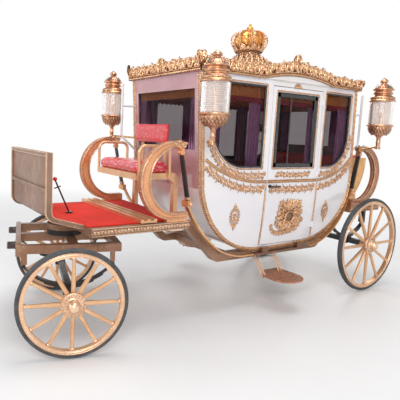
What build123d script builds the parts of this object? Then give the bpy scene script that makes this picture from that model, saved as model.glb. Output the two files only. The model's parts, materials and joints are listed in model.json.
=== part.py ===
"""Royal carriage: a glazed coach body slung on leather between four C-shaped springs.

Millimetres, +X to the horses, +Y to the left, +Z up. Every place along the carriage is
counted from the rear axle; the finished pieces are then moved by rear_axle_x, so that the
origin lies on the ground at the middle of the whole carriage.
"""
import os
from math import cos, hypot, radians, sin, sqrt

from build123d import *

# Running gear
wheelbase = 3245
rear_axle_x = -1660
rear_wheel_r = 510
front_wheel_r = 405
rear_track = 1466
front_track = 1394
steer_at_rest = -16.2          # degrees, the lock the fore-carriage is parked on
tyre_depth = 30
tyre_width = 50
rim_depth = 32
rim_width = 40
spoke_count = 12
hub_r = 58
hub_inboard = 70
hub_nose = 95
axle_r = 20
axle_play = 0.3                # radial, between a stub axle and its hub
face_play = 0.3                # between soft or curved faces that meet

# Coach body
body_half = 558
body_wall = 30
body_top = 2160
waist_z = 1168
rear_waist_z = 1262
body_bottom = 538              # where the curve of the sides ends, just below the keel
sill_half = 511                # half width at the bottom of the tub
front_top_x = 2304
front_waist_x = 2241
rear_top_x = 190
rear_waist_x = 166
keel_z = 548                   # lowest point of the tub's keel line
tub_front_x = 1500             # where the keel ends and the front curve starts
tub_rear_x = 770
door_front_x = 1455
door_rear_x = 737
door_gap = 6
door_bottom = 598
door_top = 2104
arch_rise = 57
window_top = 2100
window_sill = 1350
glass_t = 5

# Platforms and springs
deck_top = 915
deck_h = 64
deck_half = 595
deck_plate = 8
deck_front_x = 3274
deck_rear_x = 2381
boot_front_x = 178             # the rear platform
boot_rear_x = -372
carpet_t = 6
spring_r = 321                 # outer radius of a C-spring
spring_mid = 93                # its depth at the belly, head and foot
spring_head = 48
spring_foot = 56
spring_w = 50
spring_y = 566
spring_z = 1255
front_spring_x = 2545
rear_spring_x = 0
strap_w = 44
strap_t = 14
perch_y = 428
perch_w = 75
perch_h = 75
perch_low = 470                # underside of the perch below the body
perch_top = 865                # centre line of the perch where it meets a platform
perch_rear_x = 542             # corners of the dip
perch_front_x = 1938

# Fittings
lamp_r = 115
lamp_x = (2387, 183)
lamp_y = 838
lamp_foot_z = 1559
rail_r = 12
rail_y = body_half - 38
rail_off = 155                 # from the body to the upright of a grab rail
# heights of a grab rail's foot, bend, rung and top
rail_heights = {"front": (1440, 1590, 1893, 2100), "rear": (1484, 1612, 1910, 2121)}

# Fore-carriage and axles
fore_rail_y = 392
fore_rail_w = 52
fore_z = (698, 763)            # underside and top of the rails
fore_x = (-405, 361)
fore_beam = 40
turntable_r = 150
king_pin_r = 24
front_spring_y = 392
front_eye_x = 340
front_eye_z = 600
front_leaf_z = 452
leaf_t = 9
leaf_w = 46
axle_h = 56
axle_w = 50
turntable_gap_z = 806
rear_spring_y = 470
rear_eye_x = 279
rear_eye_z = 688
rear_leaf_z = 572
leaves = 4
lug_y = 262
lug_r = 27
lug_length = 62

# Springs, straps and irons
spring_tail = 152
spring_border = 5
# x and z of each strap's upper end at the spring and of its lower end at the body iron
strap_ends = {"front": ((2472, 1462.7), (2387, 1083)), "rear": ((73, 1462.7), (150, 1083))}
iron_t = 12
iron_w = 50
iron_y = 535
iron_z = 519                   # underside of the irons below the tub
iron_pads = (900, 1400)

# Lines of the body
# the body seen from the side: upright ends, a boat-shaped bottom, a straight top
body_line = ((rear_top_x, body_top), (rear_waist_x, rear_waist_z), (332, 798, tub_rear_x, keel_z + 27),
             (1140, keel_z, tub_front_x, keel_z + 4), (1834, 632, 2100, 848),
             (2190, 999, front_waist_x, waist_z), (front_top_x, body_top))
# name, x_low, x_high, z_low, z_high, corner
side_windows = {
    "front": (1535, 2148, window_sill, window_top, 370),
    "door": (807, 1393, window_sill, 2056, 0),
    "rear": (274, 685, window_sill, window_top, -300),
}
# name, half width, z_low, z_high
end_windows = {"front": (465, 1500, 2020), "rear": (380, 1560, 2020)}
hinge_z = (760, 1290, 1990)
hinge_r = 7
hinge_h = 60
hinge_x = door_rear_x + 3
hinge_out = 7.2                # from the widest part of the wall to the hinge line

# Roof, cresting and crown
cornice_h = 34
cornice_out = 24
roof_rise = 150
roof_t = 26
dome_inset = 16
crown_x = 1255
crest_pitch = 88
crest_t = 12
crest_band = 42                # height of the gallery's band on the face of the cornice
crest_h = 106
crown_base = 2335
crown_r = 140
crown_h = 440
crown_bulge = 205

# Dashboard, seats and drapes
dash_front_x = 3576
dash_half = 452
dash_top = 1463
dash_depth = 45
dash_foot_z = 886              # underside of the footboard at the platform
dash_slope = 0.283
dash_bend = 64                 # length of the bend, along each of its lines
dash_web = 10
brake_foot = (3199, -26)       # where the hand lever stands, and the x and z of its ball
brake_top = (3330, 1218)
seat_x = (2418, 2781)
seat_half = 358
seat_z = 1293
sill_w = 150                   # the ribbed sill in front of the driver's seat
sill_half_y = 575
post_d = 42                    # depth of the posts that carry the driver's seat
rear_seat_half = 418
bench_x = (700, 1720)          # front edges of the rear and the front bench
bench_top = 980
cushion_top = 1480
pelmet_z = 1985                # lower edge of the pelmets
pelmet_x = (238, 2256)         # where they meet the rear and the front wall
pelmet_t = 16
drape_gap = 7                  # clear of the inner faces of the doors
curtain_w = 36
curtain_t = 48

# Lamps and steps
# radius, height above the foot
lamp_foot_to_cup = [(0, 0), (18, 0), (26, 8), (18, 18), (18, 120), (30, 134), (72, 158), (100, 196),
                    (106, 226), (119, 232), (119, 244), (0, 244)]
lamp_cap = [(0, 476), (118, 476), (120, 488), (108, 502), (104, 522), (84, 532), (74, 546), (88, 556),
            (88, 568), (70, 578), (78, 588), (94, 594), (94, 602), (60, 622), (34, 650), (20, 658),
            (36, 674), (32, 688), (14, 704), (0, 716)]
glass_low, glass_high = 244, 476
step_x = (1112, 1456)
step_y = (474, 868)
step_struts = ((1181, 566), (1466, 632))   # x and y where each pair meets the tread
step_z = 305


def outline(start, *steps):
    """Face in the plane y = 0: (x, z) goes straight there, (xm, zm, x, z) by an arc."""
    edges, here = [], start
    for step in steps + (start,):
        end = step[-2:]
        if hypot(end[0] - here[0], end[1] - here[1]) < 0.01:
            continue
        a, b = (here[0], 0, here[1]), (end[0], 0, end[1])
        if len(step) == 2:
            edges.append(Line(a, b))
        else:
            edges.append(ThreePointArc(a, (step[0], 0, step[1]), b))
        here = end
    return make_face(edges)


def drawn_in(d, start, *steps):
    """The same closed outline moved inwards by d, in the terms of outline()."""
    ends = [complex(*start)] + [complex(*step[-2:]) for step in steps]
    segments = []
    for a, step, b in zip(ends, steps + (start,), ends[1:] + ends[:1]):
        if len(step) == 2:
            t = (b - a) / abs(b - a)
            segments.append((t, t, None, None))
            continue
        m = complex(*step[:2])
        p, q = m - a, b - a
        cross = p.real * q.imag - p.imag * q.real
        centre = a - 1j * (abs(p) ** 2 * q - abs(q) ** 2 * p) / (2 * cross)
        spin = 1j if cross > 0 else -1j
        segments.append(tuple(spin * (v - centre) / abs(v - centre) for v in (a, b, m)) + (m,))
    area = sum((a.conjugate() * b).imag for a, b in zip(ends, ends[1:] + ends[:1]))
    inward = 1j if area > 0 else -1j
    moved = []
    for i, v in enumerate(ends):
        n1, n2 = inward * segments[i - 1][1], inward * segments[i][0]
        moved.append(v + d * (n1 + n2) / (1 + (n1.conjugate() * n2).real))
    result = [(moved[0].real, moved[0].imag)]
    for (_, _, tm, m), v in zip(segments, moved[1:] + moved[:1]):
        arc = () if m is None else ((m + d * inward * tm).real, (m + d * inward * tm).imag)
        result.append(arc + (v.real, v.imag))
    return result[:-1] if segments[-1][3] is None else result


def plate(face, y_low, y_high):
    """Solid over a face of the plane y = 0, from y_low to y_high."""
    return Pos(0, y_low, 0) * extrude(face, y_high - y_low, dir=(0, 1, 0))


def block(x_low, x_high, y_low, y_high, z_low, z_high):
    """Box between two corners."""
    size = (x_high - x_low, y_high - y_low, z_high - z_low)
    return Pos(x_low, y_low, z_low) * Box(*size, align=(Align.MIN, Align.MIN, Align.MIN))


def rod(a, b, r):
    """Round bar between two points."""
    a, b = Vector(*a), Vector(*b)
    plane = Plane(origin=a, z_dir=b - a)
    return plane * Cylinder(r, (b - a).length, align=(Align.CENTER, Align.CENTER, Align.MIN))


def tube(points, bend, section):
    """A section carried along straight runs joined by arcs of radius bend."""
    path = FilletPolyline(*points, radius=bend) if len(points) > 2 else Polyline(*points)
    return sweep(Plane(origin=path @ 0, z_dir=path % 0) * section, path=path)


def turned(profile):
    """Solid of revolution about Z from (radius, z) points, closed along the axis."""
    ring = [(r, 0, z) for r, z in profile]
    face = make_face(Polyline(*ring, ring[0]))
    return revolve(face, Axis.Z, 360)


def joined(pieces):
    """All pieces fused into one shape."""
    pieces = list(pieces)
    return pieces[0].fuse(*pieces[1:]) if len(pieces) > 1 else pieces[0]


def apart(pieces):
    """Solids that share a node without touching."""
    return Compound(children=[s for piece in pieces for s in piece.solids()])


def mirrored(shape):
    """The same piece on the other side of the carriage."""
    return mirror(shape, Plane.XZ)


# Wheels

def spoke(inner_r, outer_r):
    """One chamfered spoke, thicker at the hub, standing up from the axis."""
    def section(width, depth, z):
        c = 6
        w, d = width / 2, depth / 2
        ring = [(w, -d + c), (w, d - c), (w - c, d), (-w + c, d), (-w, d - c), (-w, -d + c),
                (-w + c, -d), (w - c, -d)]
        return Pos(0, 0, z) * make_face(Polyline(*ring, ring[0]))
    return loft([section(34, 30, inner_r), section(24, 24, outer_r)])


def wheel(radius):
    """Hub, twelve spokes and felloe in one piece, axis along Y, nose to +Y."""
    rim_r = radius - tyre_depth - face_play
    felloe = Cylinder(rim_r, rim_width) - Cylinder(rim_r - rim_depth, rim_width + 2)
    felloe = Rot(90, 0, 0) * felloe
    spokes = [Rot(0, 360 / spoke_count * i, 0) * spoke(hub_r - 14, rim_r - rim_depth + 3)
              for i in range(spoke_count)]
    n, i = hub_nose, -hub_inboard
    hub = turned([(0, i), (44, i), (48, i + 14), (48, i + 28), (hub_r, i + 40), (hub_r, 22),
                  (hub_r + 10, 26), (hub_r + 10, 34), (44, 42), (38, 62), (42, 68), (34, n - 8),
                  (22, n), (0, n)])
    hub -= Pos(0, 0, i - 1) * Cylinder(axle_r + axle_play, hub_inboard + 42,
                                       align=(Align.CENTER, Align.CENTER, Align.MIN))
    hub = Rot(-90, 0, 0) * hub
    return joined([hub, felloe] + spokes)


def tyre(radius):
    """Solid rubber tyre with rounded shoulders."""
    r0, r1, w, c = radius - tyre_depth, radius, tyre_width / 2, 12
    ring = [(r0, -w + 4), (r0, w - 4), (r0 + 4, w), (r1 - c, w), (r1 - 3, w - c), (r1, w - 20),
            (r1, 20 - w), (r1 - 3, c - w), (r1 - c, -w), (r0 + 4, -w)]
    return Rot(-90, 0, 0) * revolve(make_face(Polyline(*[(r, 0, y) for r, y in ring + ring[:1]])),
                                    Axis.Z, 360)


# Fore-carriage, drawn straight ahead about the king pin


def fore_frame():
    """Three rails, their cross members, the drawbar lugs and the spring hangers."""
    low, high = fore_z
    rails = [block(fore_x[0], fore_x[1], y - fore_rail_w / 2, y + fore_rail_w / 2, low, high)
             for y in (-fore_rail_y, 0, fore_rail_y)]
    edge = fore_rail_y + fore_rail_w / 2
    cross = [block(fore_x[1], fore_x[1] + fore_beam, -edge - 8, edge + 8, low - 14, high + 8),
             block(-70, 10, -edge, edge, low, high),
             block(fore_x[0], fore_x[0] + 60, -edge, edge, low, high)]
    lug_x = fore_x[1] + fore_beam
    lug_z = (low + high) / 2
    lugs = []
    for y in (-lug_y, lug_y):
        lugs.append(rod((lug_x - 4, y, lug_z), (lug_x + lug_length, y, lug_z), lug_r))
    hangers = []
    for y in (-front_spring_y, front_spring_y):
        hangers.append(block(front_eye_x - 24, front_eye_x + 21, y - 23, y + 23,
                             front_eye_z + 16, low + 2))
        hangers.append(block(-front_eye_x - 16, -front_eye_x + 16, y - 23, y + 23,
                             front_eye_z + 16, low + 2))
    frame = joined(rails + cross + lugs + hangers)
    return frame - Pos(0, 0, low - 1) * Cylinder(king_pin_r + axle_play, 80,
                                                 align=(Align.CENTER, Align.CENTER, Align.MIN))


def leaf_spring(eye_x, eye_z, low_z, y, leaves):
    """Half-elliptic spring of stacked arc leaves with an eye at each end."""
    sag = eye_z - low_z
    r = (eye_x ** 2 + sag ** 2) / (2 * sag)
    pieces = []
    for i in range(leaves):
        reach = eye_x * (1 - 0.22 * i)
        ri, ro = r + leaf_t * i - 0.5 * (i > 0), r + leaf_t * (i + 1)
        zc = low_z + r
        end = lambda rad: zc - sqrt(rad * rad - reach * reach)
        face = outline((-reach, end(ri)), (0, zc - ri, reach, end(ri)), (reach, end(ro)),
                       (0, zc - ro, -reach, end(ro)))
        pieces.append(plate(face, y - leaf_w / 2, y + leaf_w / 2))
    for x in (-eye_x, eye_x):
        pieces.append(rod((x, y - leaf_w / 2, eye_z + 2), (x, y + leaf_w / 2, eye_z + 2), 14))
    return joined(pieces)


def axle(track, wheel_r, spring_y, leaf_z, leaves):
    """Square beam with a stub for each wheel and a clamp block under each spring."""
    half = track / 2 - hub_inboard - 4
    beam = block(-axle_w / 2, axle_w / 2, -half, half, wheel_r - axle_h / 2, wheel_r + axle_h / 2)
    stubs = [rod((0, s * (half - 5), wheel_r), (0, s * (track / 2 + 36), wheel_r), axle_r)
             for s in (-1, 1)]
    collars = [rod((0, s * (half - 2), wheel_r), (0, s * (half + 3), wheel_r), 34) for s in (-1, 1)]
    under = leaf_z - leaf_t * leaves
    clamps = [block(-45, 45, s * spring_y - 34, s * spring_y + 34, wheel_r - axle_h / 2 - 8, under + 6)
              for s in (-1, 1)]
    return joined([beam] + stubs + collars + clamps)


# C-springs

def c_spring(side, facing):
    """Crescent spring with two raised borders, a foot on the deck and a head that holds the strap.

    facing is 1 where the belly points to the horses, and -1 at the back.
    """
    def crescent(inset):
        ro, f = spring_r - inset, facing
        top, belly, foot = spring_r - spring_head + inset, spring_r - spring_mid + inset, \
            spring_r - spring_foot + inset
        return outline((0, ro), (f * ro, 0, 0, -ro), (-f * spring_tail, -ro),
                       (-f * spring_tail, -foot), (0, -foot), (f * belly, 0, 0, top))
    w = spring_w / 2
    core = plate(crescent(spring_border), -w + 2, w - 2)
    borders = [plate(crescent(0), -w, -w + 8), plate(crescent(0), w - 8, w)]
    foot = block(min(-facing * spring_tail, facing * 60), max(-facing * spring_tail, facing * 60),
                 -w, w, deck_top - spring_z, -spring_r + 6)
    head = plate(outline((0, spring_r), (0, spring_r - spring_head),
                         (-facing * 40, 262, -facing * 62, 232), (-facing * 84, 250),
                         (-facing * 96, 290, -facing * 122, 300), (-facing * 100, spring_r - 6)), -w, w)
    grip = rod((-facing * 68, -w, 228), (-facing * 68, w, 228), 20)
    spring = joined([core] + borders + [foot, head, grip])
    x = front_spring_x if facing > 0 else rear_spring_x
    return Pos(x, side * spring_y, spring_z) * spring


def strap(side, end):
    """Leather strap pulled taut from the spring's head to the body iron."""
    (xt, zt), (xl, zl) = strap_ends[end]
    face = outline((xt - strap_t / 2, zt), (xt + strap_t / 2, zt), (xl + strap_t / 2 + 3, zl),
                   (xl - strap_t / 2 - 3, zl))
    return Pos(0, side * spring_y, 0) * plate(face, -strap_w / 2, strap_w / 2)


def body_iron(side):
    """Flat iron from strap to strap outside the tub, with a clamp at each end and two pads."""
    xf, zf = strap_ends["front"][1]
    xr, zr = strap_ends["rear"][1]
    z, t = iron_z, iron_t
    face = outline((xr - 6, zr - 30), (xr + 172, 725, tub_rear_x, z), (1640, z),
                   (1855, 546, 2050, 640), (2274, 866, xf - 2, zf - 30), (xf - 14, zf - 30),
                   (2262, 877, 2042, 651), (1850, 557, 1638, z + t),
                   (tub_rear_x, z + t), (xr + 182, 733, xr + 6, zr - 30))
    y_low, y_high = iron_y - iron_w / 2, iron_y + iron_w / 2
    pieces = [plate(face, y_low, y_high)]
    for x, z_top in ((xf, zf), (xr, zr)):
        pieces.append(block(x - 18, x + 18, y_low, spring_y + 26, z_top - 54, z_top))
    for x in iron_pads:
        pieces.append(block(x - 40, x + 40, y_low - 10, y_high - 4, z + 2, body_bottom + 40) - Body.outer)
    whole = joined(pieces)
    return whole if side > 0 else mirrored(whole)


# Coach body


def body_profile(inset=0):
    """Face of the body's side view, drawn in by inset."""
    return outline(*drawn_in(inset, *body_line)) if inset else outline(*body_line)


def cross_section(inset=0):
    """The body seen from the front: upright sides that draw in below the waist."""
    h, s, low, top = body_half - inset, sill_half - inset, body_bottom - 80, body_top + 60
    mid = (h - 0.25 * (h - s), (waist_z + body_bottom) / 2)
    edges = [Line((0, h, top), (0, h, waist_z)),
             ThreePointArc((0, h, waist_z), (0, *mid), (0, s, body_bottom)),
             Line((0, s, body_bottom), (0, s, low)), Line((0, s, low), (0, -s, low)),
             Line((0, -s, low), (0, -s, body_bottom)),
             ThreePointArc((0, -s, body_bottom), (0, -mid[0], mid[1]), (0, -h, waist_z)),
             Line((0, -h, waist_z), (0, -h, top)), Line((0, -h, top), (0, h, top))]
    return Pos(-200, 0, 0) * extrude(make_face(edges), 3000, dir=(1, 0, 0))


def window_line(x_low, x_high, z_low, z_high, corner):
    """Window outline; corner rounds off the lower corner at x_high, or at x_low if negative."""
    c, k = abs(corner), abs(corner) * (1 - cos(radians(45)))
    if corner > 0:
        return ((x_low, z_low), (x_high - c, z_low), (x_high - k, z_low + k, x_high, z_low + c),
                (x_high, z_high), (x_low, z_high))
    if corner < 0:
        return ((x_high, z_low), (x_high, z_high), (x_low, z_high), (x_low, z_low + c),
                (x_low + k, z_low + k, x_low + c, z_low))
    return ((x_low, z_low), (x_high, z_low), (x_high, z_high), (x_low, z_high))


def side_window(name, inset=0):
    """The face of a side window, drawn in by inset."""
    line = window_line(*side_windows[name])
    return outline(*drawn_in(inset, *line)) if inset else outline(*line)


class Body:
    """The shells that the panels are cut from."""
    outer = plate(body_profile(), -body_half - 5, body_half + 5) & cross_section()
    core = cross_section(body_wall)
    cavity = plate(body_profile(body_wall), -body_half, body_half) & core
    slabs = outer - core
    ring = (outer & core) - plate(body_profile(body_wall), -body_half, body_half)


def side_panel(side, x_low, x_high, z_low=body_bottom - 20, z_high=body_top + 5):
    """The part of one side wall between two places along the body."""
    y = sorted((side * (sill_half - 80), side * (body_half + 20)))
    return Body.slabs & block(x_low, x_high, y[0], y[1], z_low, z_high)


def quarter(side, name):
    """Side wall ahead of or behind the door, with its window."""
    if name == "front":
        panel = side_panel(side, door_front_x, front_top_x + 50)
    else:
        panel = side_panel(side, rear_waist_x - 50, door_rear_x)
    y = sorted((side * (body_half - 60), side * (body_half + 20)))
    return panel - plate(side_window(name), *y)


def end_wall(name):
    """Front or rear wall between the side panels, from the top down to the waist."""
    half, z_low, z_high = end_windows[name]
    x = (front_waist_x - 40, front_top_x + 50) if name == "front" else (rear_waist_x - 50, rear_top_x + 60)
    wall = Body.ring & block(x[0], x[1], -body_half, body_half, waist_z, body_top)
    return wall - block(x[0] - 5, x[1] + 5, -half, half, z_low, z_high)


def floor_pan():
    """Boat-shaped bottom of the tub, with the sill below each door."""
    low = block(-100, 2600, -body_half, body_half, 400, waist_z)
    tub = Body.ring & low
    sills = [side_panel(s, door_rear_x, door_front_x, z_high=door_bottom - door_gap) for s in (-1, 1)]
    return joined([tub] + sills)


def door(side):
    """Door panel as thick as the wall, with its window."""
    panel = side_panel(side, door_rear_x + door_gap, door_front_x - door_gap, door_bottom, door_top)
    y = sorted((side * (body_half - 60), side * (body_half + 20)))
    panel -= plate(side_window("door"), *y)
    knuckles = [hinge_knuckle(side, z) for z in hinge_z]
    return joined([panel] + knuckles)


def side_y(z):
    """Outer half width of the tub at a height below the waist."""
    drop = body_half - sill_half
    r = ((waist_z - body_bottom) ** 2 + drop ** 2) / (2 * drop)
    return body_half - r + sqrt(r * r - min(0, z - waist_z) ** 2)


def hinge_knuckle(side, z):
    """A barrel on the hinge line and the leaf that ties it to the door."""
    y = body_half + hinge_out
    barrel = Pos(hinge_x, y, z) * Cylinder(hinge_r, hinge_h)
    leaf = block(hinge_x, door_rear_x + 32, side_y(z) - 8, y, z - hinge_h / 2, z + hinge_h / 2)
    both = joined([barrel, leaf])
    return both if side > 0 else mirrored(both)


def door_handle(side):
    """Lever on a rose, and the knob above it."""
    y0 = side * body_half
    rose = Pos(door_front_x - 40, y0 + side * 4, 1172) * (Rot(90, 0, 0) * Cylinder(17, 8))
    stem = rod((door_front_x - 40, y0 + side * 6, 1172), (door_front_x - 40, y0 + side * 38, 1172), 8)
    lever = rod((door_front_x - 34, y0 + side * 34, 1172), (door_front_x - 150, y0 + side * 34, 1172), 8)
    return joined([rose, stem, lever])


def pane(name, side):
    """Side window glass, half way through the wall."""
    y = sorted((side * (body_half - body_wall / 2 - glass_t), side * (body_half - body_wall / 2)))
    return plate(side_window(name, face_play), *y)


def end_pane(name):
    """Glass of the front or rear window, set along the wall."""
    half, z_low, z_high = end_windows[name]
    x = (front_top_x, front_waist_x) if name == "front" else (rear_top_x, rear_waist_x)
    inward = -1 if name == "front" else 1
    top_run = body_top - (waist_z if name == "front" else rear_waist_z)
    at = lambda z: x[0] + (x[1] - x[0]) * (body_top - z) / top_run + inward * 12
    face = outline((at(z_low), z_low + face_play), (at(z_high), z_high - face_play),
                   (at(z_high) + inward * glass_t, z_high - face_play),
                   (at(z_low) + inward * glass_t, z_low + face_play))
    return plate(face, -half + face_play, half - face_play)


# Roof, cresting and crown


def dome(rise, inset, base):
    """Pillow of two crossed arcs over the roof's plan."""
    x0, x1 = rear_top_x + inset, front_top_x - inset
    h = body_half - inset
    along = plate(outline((x0, base), (x1, base), (x1, base + 20),
                          ((x0 + x1) / 2, base + rise, x0, base + 20)),
                  -h, h)
    edges = [Line((0, -h, base), (0, h, base)), Line((0, h, base), (0, h, base + 20)),
             ThreePointArc((0, h, base + 20), (0, 0, base + rise), (0, -h, base + 20)),
             Line((0, -h, base + 20), (0, -h, base))]
    across = Pos(-100, 0, 0) * extrude(make_face(edges), 2700, dir=(1, 0, 0))
    return along & across


def roof():
    """Hollow domed roof on a moulded cornice that arches over each door."""
    o = cornice_out
    ledge = block(rear_top_x - o, front_top_x + o, -body_half - o, body_half + o,
                  body_top, body_top + cornice_h)
    hollow = block(rear_top_x + body_wall, front_top_x - body_wall, -body_half + body_wall,
                   body_half - body_wall, body_top - 5, body_top + cornice_h + 5)
    shell = dome(roof_rise, dome_inset, body_top + cornice_h - 4)
    shell -= dome(roof_rise - roof_t, roof_t + dome_inset, body_top + cornice_h - 5)
    arches = [raised_cornice(s) for s in (-1, 1)]
    headers = [side_panel(s, door_rear_x, door_front_x, z_low=door_top + door_gap, z_high=body_top)
               for s in (-1, 1)]
    return joined([ledge - hollow, shell] + arches + headers)


def raised_cornice(side):
    """Raised part of the cornice above a door."""
    x0, x1 = door_rear_x - 62, door_front_x + 115
    xm = (x0 + x1) / 2
    top = body_top + cornice_h
    face = outline((x0 - 30, top - 4), (x1 + 30, top - 4), (x1 + 30, top),
                   (xm, top + arch_rise, x0 - 30, top))
    y = sorted((side * (body_half - body_wall), side * (body_half + cornice_out)))
    return plate(face, *y)


def leaf(height, width):
    """Upright pointed leaf with a stem, drawn in the plane y = 0."""
    w = width / 2
    return outline((-w * 0.45, -6), (w * 0.45, -6), (w * 0.5, height * 0.16),
                   (w * 1.02, height * 0.42, w * 0.42, height * 0.72), (0, height),
                   (-w * 0.42, height * 0.72), (-w * 1.02, height * 0.42, -w * 0.5, height * 0.16))


def cresting():
    """Gallery of leaves on the face of the cornice, rising over the doors."""
    base, band = body_top - 5, crest_band
    x0, x1 = door_rear_x - 92, door_front_x + 145
    xm, half = (x0 + x1) / 2, (x1 - x0) / 2
    r = (half ** 2 + arch_rise ** 2) / (2 * arch_rise)
    lift = lambda x: sqrt(r * r - (x - xm) ** 2) - (r - arch_rise) if abs(x - xm) < half else 0
    out = cornice_out + crest_t / 2
    y, x_low, x_high = body_half + out, rear_top_x - out, front_top_x + out
    top = base + band
    pieces = []
    for side in (-1, 1):
        count = int((x_high - x_low - 40) // crest_pitch)
        first = (x_high + x_low) / 2 - crest_pitch * (count - 1) / 2
        for i in range(count):
            x = first + crest_pitch * i
            tall = crest_h * (1.2 if abs(x - xm) < crest_pitch else 1.0)
            solid = plate(leaf(tall, crest_pitch * 0.98), -crest_t / 2, crest_t / 2)
            pieces.append(Pos(x, side * y, top + lift(x) - 4) * solid)
        rail = outline((x_low, base), (x0, base), (xm, base + arch_rise, x1, base), (x_high, base),
                       (x_high, top), (x1, top), (xm, top + arch_rise, x0, top), (x_low, top))
        pieces.append(plate(rail, side * y - crest_t / 2, side * y + crest_t / 2))
    for x in (x_low, x_high):
        count = int((2 * y - 40) // crest_pitch)
        for i in range(count):
            yy = crest_pitch * (i - (count - 1) / 2)
            solid = plate(leaf(crest_h, crest_pitch * 0.98), -crest_t / 2, crest_t / 2)
            pieces.append(Pos(x, yy, top - 4) * (Rot(0, 0, 90) * solid))
        pieces.append(block(x - crest_t / 2, x + crest_t / 2, -y - crest_t / 2, y + crest_t / 2, base, top))
    return joined(pieces)


def crown():
    """Closed crown: plinth, band, eight arches over a bulbous cap, and the orb with its finial."""
    z = crown_base
    plinth = turned([(0, z - 40), (180, z - 40), (176, z + 6), (130, z + 40), (120, z + 96), (0, z + 96)])
    band_z = z + 90
    band = Pos(0, 0, band_z + 24) * (Cylinder(crown_r, 48) - Cylinder(crown_r - 14, 40))
    b, t, top = crown_bulge, 16, band_z + 250
    strip = outline((crown_r - 8, band_z + 30), (b + 14, band_z + 130, b - 70, band_z + 236),
                    (60, top + 10, 0, top - 6), (0, top - 6 - t), (56, top - t - 8, b - 86, band_z + 224),
                    (b - 6, band_z + 132, crown_r - 24, band_z + 30))
    arches = [Rot(0, 0, 45 * i) * plate(strip, -9, 9) for i in range(8)]
    points = [Rot(0, 0, 45 * i + 22.5) * Pos(crown_r - 5, 0, band_z + 44)
              * (Rot(0, 0, 90) * plate(leaf(92, 62), -5, 5)) for i in range(8)]
    orb = turned([(0, top - 26), (18, top - 26), (22, top - 8), (38, top + 18), (38, top + 34),
                  (22, top + 56), (10, top + 62), (10, top + 74), (24, top + 84), (10, top + 94),
                  (0, top + 112)])
    cap = turned([(0, band_z), (crown_r - 12, band_z), (crown_r - 20, band_z + 40), (b - 34, band_z + 92),
                  (b - 22, band_z + 136), (b - 38, band_z + 184), (b - 84, band_z + 222), (60, top - 12),
                  (0, top - 12)])
    whole = joined([plinth, band, cap] + arches + points + [orb])
    return Pos(crown_x, 0, 0) * whole - dome(roof_rise, dome_inset, body_top + cornice_h - 4)


# Perch and platforms

def perch():
    """Two welded box beams that dip under the body, and the members between them."""
    low = perch_low + perch_h / 2
    points = [(boot_front_x - 80, 0, perch_top), (perch_rear_x - (perch_top - low), 0, perch_top),
              (perch_rear_x, 0, low), (perch_front_x, 0, low),
              (perch_front_x + (perch_top - low), 0, perch_top), (deck_rear_x + 60, 0, perch_top)]
    beam = tube(points, 70, Rectangle(perch_w, perch_h))
    beam &= block(boot_front_x, deck_rear_x, -200, 200, 300, 1000)
    pieces = [Pos(0, s * perch_y, 0) * beam for s in (-1, 1)]
    inner = perch_y - perch_w / 2
    for x in (perch_rear_x + 160, (perch_rear_x + perch_front_x) / 2, perch_front_x - 160):
        pieces.append(block(x - 30, x + 30, -inner - 4, inner + 4, perch_low + 6, perch_low + perch_h - 8))
    return joined(pieces)


def deck(x_low, x_high):
    """Platform: a thin top on a deep rim, with two bearers below."""
    z0 = deck_top - deck_h
    box = block(x_low, x_high, -deck_half, deck_half, z0, deck_top)
    rim = 45
    box -= block(x_low + rim, x_high - rim, -deck_half + rim, deck_half - rim, z0 - 1,
                 deck_top - deck_plate)
    half = perch_w / 2
    bearers = [block(x_low + rim - 2, x_high - rim + 2, y - half, y + half, z0, deck_top - deck_plate + 2)
               for y in (-perch_y, perch_y)]
    return joined([box] + bearers)


def driver_platform():
    """Front platform with the upper turntable plate and king pin below it."""
    z0 = deck_top - deck_h
    z_low = turntable_gap_z + 0.5
    top_plate = Pos(wheelbase, 0, 0) * turned([(0, z_low), (turntable_r, z_low), (turntable_r, z0), (0, z0)])
    keep = block(deck_rear_x, deck_front_x + 260, -deck_half, deck_half, 0, z0)
    pin = Pos(wheelbase, 0, 0) * turned([(0, fore_z[0] - 14), (king_pin_r, fore_z[0] - 14),
                                         (king_pin_r, turntable_gap_z + 4), (0, turntable_gap_z + 4)])
    return joined([deck(deck_rear_x, deck_front_x), top_plate & keep, pin])


def turntable():
    """Lower turntable ring on the fore-carriage rails."""
    z0, z1, inner, boss = fore_z[1], turntable_gap_z - 0.5, turntable_r - 35, 70
    ring = turned([(inner, z0), (turntable_r, z0), (turntable_r, z1), (inner, z1)])
    hub = turned([(0, z0), (boss, z0), (boss, z1), (0, z1)])
    bridge = block(-turntable_r + 30, turntable_r - 30, -26, 26, z0, z1)
    return joined([ring, hub, bridge]) - Cylinder(king_pin_r + axle_play, 3000)


def dash_outline(front, back):
    """Side view of the footboard that sweeps up into the dash, between two depths."""
    def path(d):
        run = hypot(1, dash_slope)
        x, bend = dash_front_x - d, dash_bend - 0.58 * d
        foot = dash_foot_z + 0.74 * d
        z = foot + dash_slope * (x - deck_front_x)
        a = (x - bend / run, z - bend * dash_slope / run)
        b = (x, z + bend)
        r = bend / 0.756
        way = r / hypot(r, bend)
        middle = (x - r + r * way, z + bend - bend * way)
        return (deck_front_x, foot), a, (*middle, *b)
    a, b = path(front), path(back)
    return outline((dash_front_x - front, dash_top), a[2][2:], (*a[2][:2], *a[1]), a[0],
                   b[0], b[1], b[2], (dash_front_x - back, dash_top))


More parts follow.
